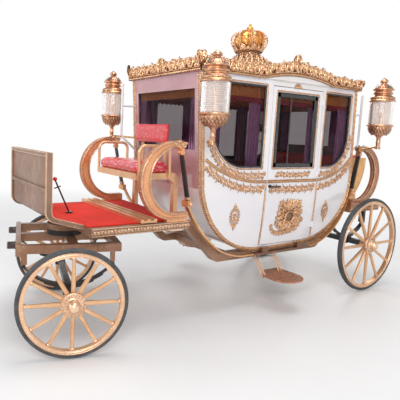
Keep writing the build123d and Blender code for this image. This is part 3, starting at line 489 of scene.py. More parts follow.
def mixed(tree, factor, a, b, mode="MIX"):
    node = tree.nodes.new("ShaderNodeMix")
    node.data_type = "RGBA"
    node.blend_type = mode
    for socket, value in ((node.inputs[0], factor), (node.inputs[6], a), (node.inputs[7], b)):
        if isinstance(value, bpy.types.NodeSocket):
            tree.links.new(value, socket)
        else:
            socket.default_value = value if isinstance(value, float) else (*value, 1)
    return node.outputs[2]


def bumped(tree, shader, height, strength, distance=0.001, base=None):
    node = tree.nodes.new("ShaderNodeBump")
    node.inputs["Strength"].default_value = strength
    node.inputs["Distance"].default_value = distance
    tree.links.new(height, node.inputs["Height"])
    if base is not None:
        tree.links.new(base, node.inputs["Normal"])
    tree.links.new(node.outputs["Normal"], shader.inputs["Normal"])
    return node.outputs["Normal"]


# paint or metal with broad tone, fine grain, and a darker colour in low places if patina is given:
# patina, and painted shade in the hollows; light flecks stand for wear, and on the carved gold for
# painted highlights
def finish(name, light, dark, metallic=0.0, rough=(0.3, 0.45), patch=6.0, grain=220.0, bump=0.15,
           coat=0.0, patinaAndShade=None, deep=0.001, wearAndGlints=None):
    material, tree, shader, where = nodeTree(name)
    broad = noise(tree, where, patch, 5.0, 0.6)
    color = ramp(tree, broad, [(0.32, dark), (0.62, light)])
    if wearAndGlints:
        # light flecks: wear on frames, panels and tyres; on the carved gold they are painted highlights
        flecks = noise(tree, where, patch * 7, 8.0, 0.75)
        mask = spread(tree, flecks, 0.0, 0.85, 0.56, 0.7)
        color = mixed(tree, mask, color, wearAndGlints)
    if patinaAndShade:
        # painted shade: the colour for low places darkens the relief's hollows by their lift, besides
        # real patina
        attribute = tree.nodes.new("ShaderNodeAttribute")
        attribute.attribute_name = "lift"
        mask = spread(tree, attribute.outputs["Fac"], 0.95, 0.0, 0.1, 0.8)
        color = mixed(tree, mask, color, patinaAndShade)
    tree.links.new(color, shader.inputs["Base Color"])
    fine = noise(tree, where, grain, 2.0)
    tree.links.new(spread(tree, noise(tree, where, patch * 3), rough[0], rough[1]),
                   shader.inputs["Roughness"])
    shader.inputs["Metallic"].default_value = metallic
    shader.inputs["Coat Weight"].default_value = coat
    shader.inputs["Coat Roughness"].default_value = 0.06
    bumped(tree, shader, fine, bump, deep)
    return material


def maths(tree, operation, a, b):
    node = tree.nodes.new("ShaderNodeMath")
    node.operation = operation
    for socket, value in zip(node.inputs, (a, b)):
        if isinstance(value, bpy.types.NodeSocket):
            tree.links.new(value, socket)
        else:
            socket.default_value = value
    return node.outputs[0]


def linear(tree, value, fromLow, fromHigh, low, high):
    return spread(tree, value, low, high, fromLow, fromHigh)


# 1 on the inner face of a side wall, whose outside leans in below the waist
def inSide(tree, x, y, z):
    limit = linear(tree, z, 0.538, 0.85, 0.496, 0.531)
    return maths(tree, "LESS_THAN", maths(tree, "ABSOLUTE", y, 0.0), limit)


# 1 on the inner face of an end wall, above its curve
def inEnd(slope, start, low, sign):
    def mask(tree, x, y, z):
        edge = maths(tree, "ADD", maths(tree, "MULTIPLY", maths(tree, "SUBTRACT", z, low), slope), start)
        inner = maths(tree, "GREATER_THAN",
                      maths(tree, "MULTIPLY", maths(tree, "SUBTRACT", edge, x), sign), 0.015)
        return maths(tree, "MULTIPLY", inner, maths(tree, "GREATER_THAN", z, low))
    return mask


# 1 on the ceiling
def inRoof(tree, x, y, z):
    below = maths(tree, "LESS_THAN", z, 2.165)
    across = maths(tree, "LESS_THAN", maths(tree, "ABSOLUTE", y, 0.0), 0.52)
    along = maths(tree, "LESS_THAN", maths(tree, "ABSOLUTE", maths(tree, "SUBTRACT", x, -0.413), 0.0),
                  1.02)
    return maths(tree, "MULTIPLY", below, maths(tree, "MULTIPLY", across, along))


def above(height):
    return lambda tree, x, y, z: maths(tree, "GREATER_THAN", z, height)


# 1 on the straight run of the body irons, under the doors
def amidships(tree, x, y, z):
    return maths(tree, "LESS_THAN", maths(tree, "ABSOLUTE", maths(tree, "SUBTRACT", x, -0.505), 0.0),
                 0.405)


# A second colour where the mask says so, by the place on the piece
def partly(material, mask, other, coat=0.0, metallic=None):
    tree = material.node_tree
    shader = tree.nodes["Principled BSDF"]
    split = tree.nodes.new("ShaderNodeSeparateXYZ")
    tree.links.new(tree.nodes.new("ShaderNodeTexCoord").outputs["Object"], split.inputs[0])
    part = mask(tree, *split.outputs)
    color = shader.inputs["Base Color"].links[0].from_socket
    tree.links.new(mixed(tree, part, color, other), shader.inputs["Base Color"])
    for key, value in (("Coat Weight", coat), ("Metallic", metallic)):
        if value is not None:
            own = shader.inputs[key].default_value
            tree.links.new(linear(tree, part, 0.0, 1.0, own, value), shader.inputs[key])
    return material


# the grey tint is painted shade: it dims the cabin seen through the glass
def clearGlass(name, tint=(0.41, 0.38, 0.39), rough=0.02):
    material, tree, shader, where = nodeTree(name)
    shader.inputs["Base Color"].default_value = (*tint, 1)
    shader.inputs["Transmission Weight"].default_value = 1.0
    shader.inputs["IOR"].default_value = 1.12
    haze = spread(tree, noise(tree, where, 3.0, 4.0), rough, rough + 0.05)
    tree.links.new(haze, shader.inputs["Roughness"])
    bumped(tree, shader, noise(tree, where, 2.2, 1.0), 0.03, 0.002)
    return material


# lamp glass that is hazed and lit from every side
def milky(name, tint):
    material, tree, shader, where = nodeTree(name)
    shader.inputs["Base Color"].default_value = (*tint, 1)
    shader.inputs["Transmission Weight"].default_value = 0.72
    shader.inputs["IOR"].default_value = 1.35
    haze = spread(tree, noise(tree, where, 6.0, 4.0), 0.06, 0.16)
    tree.links.new(haze, shader.inputs["Roughness"])
    bumped(tree, shader, noise(tree, where, 30.0, 2.0, 0.5, (1.0, 1.0, 7.0)), 0.3, 0.002)
    return material


# woven cloth: crossed threads, soft mottling
def cloth(name, light, dark, sheen=0.3, weave=900.0):
    material, tree, shader, where = nodeTree(name)
    color = ramp(tree, noise(tree, where, 9.0, 4.0), [(0.3, dark), (0.7, light)])
    tree.links.new(color, shader.inputs["Base Color"])
    shader.inputs["Roughness"].default_value = 0.75
    shader.inputs["Sheen Weight"].default_value = sheen
    wave = tree.nodes.new("ShaderNodeTexWave")
    wave.inputs["Scale"].default_value = weave / 6.0
    wave.inputs["Distortion"].default_value = 1.5
    tree.links.new(where, wave.inputs["Vector"])
    bumped(tree, shader, wave.outputs["Fac"], 0.25, 0.0006)
    return material


# short carpet pile
def shortPile(name, light, dark):
    material, tree, shader, where = nodeTree(name)
    tufts = noise(tree, where, 420.0, 2.0, 0.8)
    color = ramp(tree, tufts, [(0.35, dark), (0.65, light)])
    swept = ramp(tree, noise(tree, where, 4.0, 3.0),
                 [(0.35, (0.82, 0.82, 0.82)), (0.65, (1.0, 1.0, 1.0))])
    tree.links.new(mixed(tree, 1.0, color, swept, "MULTIPLY"), shader.inputs["Base Color"])
    shader.inputs["Roughness"].default_value = 1.0
    shader.inputs["Specular IOR Level"].default_value = 0.15
    shader.inputs["Sheen Weight"].default_value = 0.08
    bumped(tree, shader, tufts, 0.6, 0.003)
    return material


# red leathercloth under clear film: deep gloss with crinkles, and pink painted highlights of the film's
# glints mixed into the colour
def wrapped(name, light, dark, paintedGlint):
    material, tree, shader, where = nodeTree(name)
    color = ramp(tree, noise(tree, where, 7.0, 4.0), [(0.3, dark), (0.7, light)])
    # painted highlights: pale pink streaks in the base colour, up to the given share
    glints = spread(tree, noise(tree, where, 26.0, 7.0, 0.75, (1.0, 1.0, 2.6)), 0.0, paintedGlint, 0.5, 0.62)
    color = mixed(tree, glints, color, (1.0, 0.6, 0.62))
    tree.links.new(color, shader.inputs["Base Color"])
    shader.inputs["Roughness"].default_value = 0.35
    shader.inputs["Coat Weight"].default_value = 1.0
    shader.inputs["Coat Roughness"].default_value = 0.08
    first = noise(tree, where, 13.0, 5.0, 0.65, (1.0, 1.0, 2.4))
    bumped(tree, shader, first, 0.7, 0.012)
    return material


leverTop = max(corner[2] for corner in nodes["brake_lever"].bound_box)
mats = {
    "lacquer": finish("whiteLacquer", (0.9, 0.88, 0.9), (0.84, 0.81, 0.85), 0.0, (0.12, 0.2), 1.3, 60.0,
                      0.02, 0.9),
    "roofWhite": partly(finish("roofWhite", (0.88, 0.84, 0.82), (0.8, 0.76, 0.75), 0.0, (0.16, 0.26), 1.3,
                               60.0, 0.02, 0.8), inRoof, (0.5, 0.3, 0.3)),
    "sideWhite": partly(finish("sideWhite", (0.9, 0.88, 0.9), (0.84, 0.81, 0.85), 0.0, (0.12, 0.2), 1.3,
                               60.0, 0.02, 0.9),
                        inSide, (0.24, 0.08, 0.11)),
    # front wall: a mauve tint, darkened with painted shade and reddened with a painted reflection of the
    # red carpet
    "frontMauve": partly(finish("frontMauve", (0.62, 0.36, 0.38), (0.46, 0.22, 0.25), 0.0, (0.1, 0.18),
                                1.6, 60.0, 0.02,
                                1.0), inEnd(0.0635, 0.581, 1.168, 1.0), (0.24, 0.08, 0.11)),
    "rearWhite": partly(finish("rearWhite", (0.86, 0.82, 0.84), (0.78, 0.74, 0.77), 0.0, (0.12, 0.2), 1.3,
                               60.0, 0.02, 0.9),
                        inEnd(0.0267, -1.494, 1.262, -1.0), (0.24, 0.08, 0.11)),
    "springPeach": finish("springPeach", (0.86, 0.42, 0.2), (0.72, 0.31, 0.14), 0.55, (0.2, 0.32), 4.0,
                          200.0, 0.05, 0.3),
    "springBronze": finish("springBronze", (0.5, 0.24, 0.13), (0.34, 0.15, 0.08), 0.6, (0.24, 0.38), 5.0,
                           200.0, 0.08, 0.2),
    "step": partly(finish("stepPattern", (0.62, 0.29, 0.16), (0.2, 0.06, 0.04), 0.4, (0.3, 0.45), 34.0,
                          160.0, 0.6, 0.0, deep=0.004), above(0.33), (0.7, 0.45, 0.3), 0.0, 0.6),
    "irons": partly(finish("ironGilding", (0.86, 0.52, 0.26), (0.66, 0.33, 0.14), 0.8, (0.24, 0.4), 9.0,
                           240.0, 0.12),
                    amidships, (0.2, 0.09, 0.045), 0.3, 0.3),
    "lever": partly(finish("leverBlack", (0.02, 0.018, 0.02), (0.01, 0.01, 0.01), 0.1, (0.25, 0.4), 6.0,
                           180.0, 0.08, 0.4),
                    above(leverTop - 0.036), (0.62, 0.01, 0.015), 1.0),
    "gold": finish("antiqueGold", (0.84, 0.5, 0.21), (0.62, 0.31, 0.12), 0.85, (0.26, 0.42), 9.0, 260.0,
                   0.12),
    "carved": finish("carvedGold", (0.92, 0.57, 0.33), (0.7, 0.37, 0.19), 0.75, (0.22, 0.36), 14.0, 320.0,
                     0.12, patinaAndShade=(0.09, 0.027, 0.016), wearAndGlints=(0.98, 0.78, 0.6)),
    "discBronze": finish("discBronze", (0.3, 0.17, 0.1), (0.16, 0.08, 0.05), 0.7, (0.25, 0.4), 12.0,
                         200.0, 0.1),
    "roseGold": finish("roseGold", (0.84, 0.53, 0.31), (0.68, 0.38, 0.2), 0.6, (0.28, 0.42), 5.0, 240.0,
                       0.1),
    "pale": finish("paleGilding", (0.93, 0.66, 0.46), (0.74, 0.44, 0.27), 0.75, (0.24, 0.4), 14.0, 320.0,
                   0.12, patinaAndShade=(0.14, 0.05, 0.03)),
    "roseBright": finish("roseBright", (0.92, 0.66, 0.48), (0.78, 0.48, 0.31), 0.75, (0.2, 0.32), 8.0,
                         240.0, 0.08),
    "orangeGold": finish("orangeGold", (0.86, 0.42, 0.13), (0.6, 0.24, 0.06), 0.85, (0.22, 0.38), 16.0,
                         160.0, 0.3),
    "copper": finish("copperGold", (0.74, 0.42, 0.26), (0.4, 0.19, 0.11), 0.85, (0.22, 0.36), 16.0, 220.0,
                     0.1, patinaAndShade=(0.1, 0.035, 0.02)),
    "bronze": finish("wornBronze", (0.62, 0.31, 0.14), (0.4, 0.17, 0.08), 0.75, (0.34, 0.55), 8.0, 150.0,
                     0.3, wearAndGlints=(0.75, 0.5, 0.3)),
    "brown": finish("brownFrame", (0.37, 0.2, 0.115), (0.25, 0.12, 0.07), 0.35, (0.3, 0.45), 3.0, 200.0,
                    0.1, 0.3, wearAndGlints=(0.5, 0.32, 0.2)),
    "panel": finish("wornPanel", (0.33, 0.2, 0.14), (0.22, 0.12, 0.08), 0.25, (0.35, 0.6), 2.5, 90.0, 0.2,
                    wearAndGlints=(0.45, 0.33, 0.27)),
    "iron": finish("blackIron", (0.03, 0.028, 0.03), (0.012, 0.012, 0.013), 0.1, (0.3, 0.5), 6.0, 180.0,
                   0.15, 0.2),
    "black": finish("blackFrame", (0.018, 0.017, 0.018), (0.01, 0.01, 0.011), 0.0, (0.2, 0.34), 5.0,
                    200.0, 0.06, 0.4),
    "stud": finish("darkStud", (0.075, 0.05, 0.045), (0.04, 0.026, 0.024), 0.4, (0.3, 0.45), 12.0, 180.0,
                   0.15, 0.2),
    "white": finish("whiteEnamel", (0.84, 0.83, 0.84), (0.74, 0.73, 0.75), 0.0, (0.18, 0.28), 7.0, 120.0,
                    0.05, 0.6),
    "tyre": finish("tyreRubber", (0.085, 0.083, 0.088), (0.04, 0.04, 0.043), 0.0, (0.55, 0.75), 14.0,
                   260.0, 0.35, wearAndGlints=(0.15, 0.145, 0.14)),
    "strap": finish("harnessLeather", (0.022, 0.018, 0.017), (0.01, 0.009, 0.009), 0.0, (0.34, 0.5), 12.0,
                    420.0, 0.5),
    "glass": clearGlass("windowGlass"),
    "chimney": milky("rippledGlass", (0.95, 0.88, 0.84)),
    "carpet": shortPile("redCarpet", (0.93, 0.055, 0.03), (0.7, 0.02, 0.012)),
    "seat": wrapped("redWrapped", (0.85, 0.03, 0.06), (0.62, 0.015, 0.04), 0.85),
    "seatBack": wrapped("redWrappedBack", (0.85, 0.012, 0.03), (0.62, 0.008, 0.02), 0.3),
    "cushion": finish("redLeathercloth", (0.85, 0.018, 0.022), (0.66, 0.01, 0.014), 0.0, (0.3, 0.45), 3.0,
                      500.0, 0.3, 0.3),
    "curtain": cloth("purpleCurtain", (0.62, 0.3, 0.55), (0.4, 0.16, 0.36)),
    "pelmet": cloth("bronzePelmet", (1.0, 0.42, 0.13), (0.82, 0.28, 0.07), sheen=0.6),
    "valance": cloth("maroonValance", (0.6, 0.06, 0.09), (0.38, 0.03, 0.05)),
    "redLattice": finish("latticeGround", (0.32, 0.03, 0.02), (0.18, 0.012, 0.01), 0.2, (0.35, 0.5), 9.0,
                         220.0, 0.2),
}
bySlot = {"lacquer": "lacquer", "gold": "gold", "rose_gold": "roseGold", "bronze": "bronze",
          "frame_brown": "brown",
          "panel_brown": "panel", "black_iron": "iron", "white_paint": "white", "trim_red": "cushion",
          "carpet": "carpet", "drape": "curtain", "strap_leather": "strap", "tyre": "tyre",
          "glass": "glass"}
byNode = {"roof": "roofWhite", "front_wall": "frontMauve", "rear_wall": "rearWhite",
          "body_irons": "irons", "side_steps": "step",
          "brake_lever": "lever", "left_door_handle": "iron", "right_door_handle": "iron",
          "left_door": "sideWhite", "right_door": "sideWhite"}
for part in frame["record"]["subparts"]:
    name = part["node"]
    if name.endswith("_quarter"):
        byNode[name] = "sideWhite"
    if name.endswith("_c_spring"):
        byNode[name] = "springPeach" if name.startswith("front") else "springBronze"
    obj = nodes[name]
    obj.data.materials.clear()
    obj.data.materials.append(mats[byNode.get(name, bySlot[part["material_slot"]])])
print("stage: materials")

# Mouldings, swags and medallions on the tub

tubTrim = {"edge": 26, "waist": 26, "window": 15, "rib": 22}
waistFront = smooth([(1462, 1218), (1600, 1221), (1740, 1238), (1880, 1270), (2010, 1316), (2110, 1362),
                     (2212, 1424)], 90)
waistRear = smooth([(731, 1218), (640, 1228), (510, 1258), (400, 1302), (300, 1360), (205, 1440)], 70)
waistDoor = np.array([(744, 1218), (1448, 1218)], float)
windowLines = {
    "front": [(1535, 1350), (1778, 1350), (2039.6, 1458.4, 2148, 1720), (2148, 2100), (1535, 2100),
              (1535, 1350)],
    "door": [(807, 1350), (1393, 1350), (1393, 2056), (807, 2056), (807, 1350)],
    "rear": [(685, 1350), (685, 2100), (274, 2100), (274, 1650), (361.9, 1437.9, 574, 1350), (685, 1350)],
}


# for each row of leaves: turn from the stem, length as a share of the reach, shift along the stem
garlandLeaves = ((0.75, 0.9, 0.0), (1.4, 0.74, -0.35), (2.3, 0.55, -0.2))


# open swag: a stem that waves as a sine, C-curls on either side of it in turn, and leaf tips that stand
# away
def garland(pile, path, reach, mapping, flowers=(0.5,), step=46.0):
    n = max(4, int(lengthOf(path) / step))
    mid = evenly(path, 2 * n + 1)[1::2]
    nrm = normals(evenly(path, 2 * n + 1))[1::2]
    along = np.arctan2(-nrm[:, 0], nrm[:, 1])
    flip = byTurns(n)
    dense = evenly(path, n * 12)
    wave = reach * 0.2 * np.sin(pi * np.linspace(0, n, n * 12) + pi / 2)
    stem = dense + normals(dense) * wave[:, None]
    ribbon(pile, stem, 10, 10, mapping, taper=0.04)
    curls(pile, mid - nrm * flip[:, None] * reach * 0.2, along + flip * 0.15, reach * 0.98, mapping, 14,
          12, mirror=flip, turns=1.0)
    for turn, size, shift in garlandLeaves:
        root = mid - nrm * flip[:, None] * reach * 0.1 + pairs(np.cos(along),
                                                               np.sin(along)) * reach * shift
        length = reach * size * rng.uniform(0.85, 1.12, n)
        scatter(pile, leafForm, root, along - flip * turn, pairs(length, length * 0.5), mapping, 13,
                mirror=flip)
    tips = mid + nrm * flip[:, None] * reach * 0.78
    scatter(pile, leafForm, tips, along + flip * 0.9, (reach * 0.5, reach * 0.24), mapping, 9)
    scatter(pile, beadForm, mid - nrm * flip[:, None] * reach * 0.6, along, (4.5, 4.5), mapping, 7)
    ends = evenly(path, 40)
    for spot, angle in ((ends[0], along[0] + pi - 0.3), (ends[-1], along[-1] + 0.3)):
        curls(pile, [spot], angle, reach * 0.95, mapping, 12, 10, mirror=-1)
    for f in flowers:
        place = ends[int(f * 39)]
        scatter(pile, flowerForm, [place], [0.3], (reach * 0.52, reach * 0.52), mapping, 19)


# oval of leaves round a boss, with a plume above and a drop below
def medallion(pile, centre, mapping, height=260, width=118):
    c = np.asarray(centre, float)
    a = fullTurn(18)
    oval = c + pairs(width * 0.3 * np.cos(a), height * 0.24 * np.sin(a))
    out = np.arctan2(np.sin(a) * width, np.cos(a) * height * 0.6)
    scatter(pile, leafForm, oval, out + 0.35, (width * 0.3, width * 0.17), mapping, 9.0)
    ring = fullTurn(40)
    loop = c + pairs(width * 0.27 * np.cos(ring), height * 0.215 * np.sin(ring))
    ribbon(pile, loop, 8, 7, mapping, closed=True)
    scatter(pile, flowerForm, [c + (0, 8)], [0], (width * 0.19, height * 0.11), mapping, 12.0)
    scatter(pile, budForm, [c + (0, -6), c + (0, -6), c + (0, -8)],
            [-pi / 2 + 0.5, -pi / 2 - 0.5, -pi / 2], (height * 0.15, width * 0.2), mapping, 9.0)
    for sign in (1, -1):
        base = c + (0, sign * height * 0.24)
        angles = np.array([0, 0.45, -0.45]) + sign * pi / 2
        scatter(pile, leafForm, [base] * 3, angles,
                np.array([(height * 0.26, width * 0.3)] + [(height * 0.16, width * 0.2)] * 2),
                mapping, 11.0)
        scatter(pile, beadForm, [base + (0, sign * height * 0.245)], [0], (6, 6), mapping, 7.0)


# rings: share of the half size, leaves, their length, lift and turn; the rest are places from the disc's
# centre
crestForm = {
    "half": np.array([172.0, 142.0]), "up": 12, "disc": (54, 45), "ground": (122, 108),
    "rings": ((0.98, 32, 66, 11, 0.5), (0.78, 28, 68, 16, -0.5), (0.56, 22, 60, 20, 0.35),
              (0.4, 16, 48, 21, -0.4)),
    "sash": ((226, -100), (190, -136), (110, -154), (20, -144), (-70, -128), (-140, -96), (-178, -56)),
}


# plain oval disc in a rope, in a block of leaves whose rings follow |cos|^6 + |sin|^6 = 1, over a
# leafed ribbon
def crest(pile, disc, centre, mapping):
    c, half = np.asarray(centre, float), crestForm["half"]
    middle = c + (0, crestForm["up"])
    # painted shade: a low flat bronze ground behind the leaves, so the gaps among them read dark
    scatter(disc, beadTemplate(3, 30), middle, 0, crestForm["ground"], mapping, 5)
    for share, count, size, lift, turn in crestForm["rings"]:
        a = fullTurn(count) + share
        square = (np.abs(np.cos(a)) ** 6 + np.abs(np.sin(a)) ** 6) ** (-1 / 6)
        ring = middle + half * share * 0.8 * pairs(square * np.cos(a), square * np.sin(a))
        tilt = turn + rng.uniform(-0.3, 0.3, count)
        long = size * rng.uniform(0.8, 1.15, count)
        scatter(pile, leafForm, ring, a + tilt, pairs(long, long * 0.5), mapping, lift)
    b = fullTurn(14) + 0.2
    curls(pile, middle + half * 0.72 * pairs(np.cos(b), np.sin(b)), b + 0.9, 44.0, mapping, 19, 9,
          byTurns(14))
    loop = fullTurn(90)
    wide, high = crestForm["disc"]
    for grow, width, lift in ((1.28, 13, 23), (1.06, 7, 20)):
        path = c + grow * pairs(wide * np.cos(loop), high * np.sin(loop))
        ribbon(pile, path, width, lift, mapping, closed=True, pitch=11, wave=0.35, slant=0.7 if width > 8
               else 0.0)
    scatter(disc, beadTemplate(5, 26), c, 0, (wide - 1, high - 1), mapping, 16)
    for k in range(-3, 4):
        root = c + (k * 42, 126 - abs(k) * 4)
        scatter(pile, leafForm, [root, root + (8, -16)], [pi / 2 - k * 0.16, pi / 2 - k * 0.3 + 0.4],
                [(62, 30), (46, 26)], mapping, 20)
    sash = smooth([c + q for q in crestForm["sash"]], 120)
    ribbon(pile, sash, 30, 12, mapping, pitch=22, wave=0.3, slant=0.5)
    turn = np.arctan2(-normals(sash)[:, 0], normals(sash)[:, 1])[6:-6:9]
    for sign in (1, -1):
        scatter(pile, leafForm, sash[6:-6:9], turn + pi * (sign < 0) + sign * 0.9, (44, 22), mapping, 13)
    scatter(pile, flowerForm, c + (0, -144), 0, (27, 27), mapping, 22)
    for end, angle, mirror in ((sash[0], -0.4, 1), (sash[-1], pi + 0.4, -1)):
        curls(pile, end, angle, 44, mapping, 15, 12, mirror)


# swags on the tub's walls and on the door: points, samples, reach, where the rosettes sit
tubSwags = [
    ([(1496, 1276), (1640, 1276), (1800, 1288), (1950, 1330), (2060, 1400), (2130, 1490), (2170, 1570)],
     60, 40, (0.46, 0.66)),
    ([(1500, 1150), (1640, 1152), (1780, 1168), (1910, 1202), (2020, 1246), (2120, 1300), (2190, 1356)],
     60, 44, (0.4,)),
    ([(700, 1282), (600, 1284), (500, 1306), (404, 1362), (322, 1446), (262, 1556), (236, 1660)], 50, 36,
     (0.4,)),
    ([(700, 1152), (620, 1158), (510, 1184), (400, 1230), (300, 1292), (224, 1368)], 50, 40, (0.45,)),
]
overDoor = {"x": 1122, "z": (2120, 2128, 2142)}


# everything gilt on one side of the tub, with the door's part and its disc apart
def tubOrnament(side):
    body, door, disc, on = Pile(), Pile(), Pile(), onSide(side)
    ribbon(body, evenly(shifted(tubPath, 15), 1000), tubTrim["edge"], 10, on, pitch=tubTrim["rib"],
           wave=0.75, slant=1.0)
    for d, w, h in ((2.5, 7, 12), (28, 7, 10)):
        ribbon(body, evenly(shifted(tubPath, d), 600), w, h, on, pitch=9, wave=0.25)
    for name, line in windowLines.items():
        target = door if name == "door" else body
        loop = evenly(shifted(chain(line, 4)[:-1], -10, True), 600)[:-1]
        ribbon(target, loop, tubTrim["window"], 8, on, closed=True, pitch=15, wave=0.7, slant=1.0)
    for path, target in ((waistFront, body), (waistRear, body), (waistDoor, door)):
        n = int(lengthOf(path) / 2.4)
        dense = evenly(path, n)
        ribbon(target, dense, tubTrim["waist"] - 4, 13, on, pitch=tubTrim["rib"], wave=0.75, slant=1.1)
        for d in (-13, 13):
            ribbon(target, shifted(dense, d), 6, 8, on)
    for x in (doorway["front"] + 13, doorway["rear"] - 13):
        ribbon(body, evenly([(x, 604), (x, 1204)], 300), 16, 11, on, pitch=18, wave=0.75, slant=1.0)
    for y in (545, -545):
        line = [(s, y) for s in (4, tubS[-1] / 3, 2 * tubS[-1] / 3, tubS[-1] - 4)]
        if y * side > 0:
            ribbon(body, evenly(line, 1000), 13, 7, onShell, pitch=20, wave=0.75, slant=1.0)
            ribbon(body, evenly(np.array(line) - (0, side * 16), 300), 7, 6, onShell)
            front = [(tubS[-1] - 985, y - side * 34), (tubS[-1] - 20, y - side * 34)]
            ribbon(body, evenly(front, 200), 15, 8, onShell, pitch=20, wave=0.5, slant=1.0)
    for points, count, reach, flowers in tubSwags:
        garland(body, smooth(points, count), reach, on, flowers)
    garland(door, smooth([(860, 1286), (1040, 1276), (1330, 1286)], 30), 32, on, step=42.0)
    garland(door, smooth([(776, 1146), (1045, 1134), (1390, 1146)], 40), 44, on)
    medallion(body, (1828, 902), on)
    medallion(body, (548, 884), on, 240, 108)
    crest(door, disc, (1096, 856), on)
    x, (low, middle, high) = overDoor["x"], overDoor["z"]
    for k in range(-2, 3):
        scatter(body, leafForm, (x + k * 13, high - abs(k) * 6), -pi / 2 + k * 0.5, (46 - 6 * abs(k), 22),
                on, 13)
    curls(body, [(x, low)] * 2, [0.7, pi - 0.7], 34, on, 12, 9, [1, -1])
    scatter(body, flowerForm, (x, middle), 0.3, (17, 17), on, 17)
    return body, door, disc


for side, word in sides:
    bodyPile, doorPile, discPile = tubOrnament(side)
    bodyPile.build(word + "TubOrnament", mats["carved"], "chassis", "gold")
    doorPile.build(word + "DoorOrnament", mats["carved"], word + "_door_leaf", "gold")
    discPile.build(word + "DoorDisc", mats["discBronze"], word + "_door_leaf", "bronze")
print("stage: tub ornament")

# Black window frames, set back in the openings
frames = {"quarter": 16, "door": 44, "bar": (1196, 8), "barEnds": (1394, 2012)}
for side, word in sides:
    body, door = Pile(), Pile()
    for name, line in windowLines.items():
        target = door if name == "door" else body
        width = frames["door" if name == "door" else "quarter"]
        loop = chain(line, 9)[:-1]
        inner = shifted(loop, width, True)
        ring = np.stack([loop, loop, inner, inner], 1)
        y = side * np.array([tub["half"] - 9, tub["half"] - 2.5, tub["half"] - 2.5, tub["half"] - 14])
        p = np.concatenate([ring[..., :1], np.broadcast_to(y[None, :, None], ring[..., :1].shape),
                            ring[..., 1:]], -1)
        target.grid(p, wrapA=True)
    x, half = frames["bar"]
    bar = np.array([[(x - half, z), (x + half, z)] for z in frames["barEnds"]], float)
    p = np.stack([bar[..., 0], np.full((2, 2), side * (tub["half"] - 3)), bar[..., 1]], -1)
    door.grid(p)
    body.build(word + "QuarterFrames", mats["black"], "chassis", "gold")
    door.build(word + "DoorFrame", mats["black"], word + "_door_leaf", "gold")
print("stage: window frames")

# Cresting round the roof: a thick carved band of curls and leaves, alike on both faces

crestLine = {"y": 588, "front": 2334, "rear": 160, "base": 2155, "grow": 1.2, "peak": 1190}


# top of the cornice along the side, with its rise over the door
def corniceZ(x):
    xm, half = (cornice["from"] + cornice["to"]) / 2, (cornice["to"] - cornice["from"]) / 2
    r = (half ** 2 + cornice["rise"] ** 2) / (2 * cornice["rise"])
    d = np.clip(np.abs(x - xm), 0, half)
    return crestLine["base"] + np.sqrt(r * r - d * d) - (r - cornice["rise"])


# how tall the cresting stands along the side: tallest over the door, low at the rear corner
def crestGrow(x):
    return crestLine["grow"] * (1 + 0.2
                                * np.exp(-((x - crestLine["peak"]) / 190) ** 2)) * np.interp(x,
                                                                                             [160, 460],
                                                                                             [0.62, 1])


# one run of cresting as (way along, height, lift)
def crestRun(pile, length, mapping):
    n = int(length / 39)
    a = spaced(n, length)
    jitter = rng.uniform(-1, 1, (6, n))
    ribbon(pile, evenly([(0, 10), (length, 10)], int(length / 4.4)), 20, 13, mapping, pitch=22, wave=0.7,
           slant=1.0)
    ribbon(pile, evenly([(0, 24), (length, 24)], int(length / 12)), 7, 12, mapping)
    # painted shade: a flat sheet low in the band, given almost no lift so the low-place colour makes it
    # dark, fills the gaps between the leaves
    back = np.stack(np.meshgrid(np.linspace(0, length, int(length / 20)), [4.0, 34.0, 62.0],
                                indexing="ij"), -1)
    back[:, 2, 1] += 9 * np.sin(back[:, 2, 0] / 19)
    pile.grid(mapping(np.concatenate([back, np.full(back.shape[:2] + (1,), 4.0)], -1)),
              lift=np.full(back.shape[:2], 0.02))
    m = int(length / 66)
    b = spaced(m, length)
    flip = byTurns(m)
    curls(pile, pairs(b - flip * 30, 24.0), np.where(flip > 0, 0.2, pi - 0.2), 74, mapping, 24, 15,
          mirror=flip)
    curls(pile, pairs(b + flip * 20, 56.0), np.where(flip > 0, pi - 0.9, 0.9), 50, mapping, 18, 12,
          mirror=-flip)
    wide = 54 + 9 * jitter[3]
    scatter(pile, leafForm, pairs(a, 22 + 3 * jitter[0]), pi / 2 + 0.8 * np.sign(jitter[1]) + 0.25
            * jitter[2], pairs(wide, wide * 0.62), mapping, 19)
    wide = 50 + 9 * jitter[0]
    scatter(pile, leafForm, pairs(a + 11, 52 + 6 * jitter[4]), pi / 2 - 0.6 * np.sign(jitter[1]) + 0.3
            * jitter[5], pairs(wide, wide * 0.58), mapping, 17)
    scatter(pile, flowerForm, pairs(b + 31, 58.0), b, (17, 17), mapping, 22)
    k = int(length / 58)
    c = spaced(k, length)
    lean = 0.5 * byTurns(k) + rng.uniform(-0.25, 0.25, k)
    tall = 50 + 14 * rng.uniform(-1, 1, k)
    for tilt, share in ((0.0, 1.0), (0.7, 0.7), (-0.7, 0.7)):
        scatter(pile, leafForm, pairs(c, 64.0), pi / 2 + lean + tilt,
                pairs(tall, tall * 0.62) * share, mapping, 13)


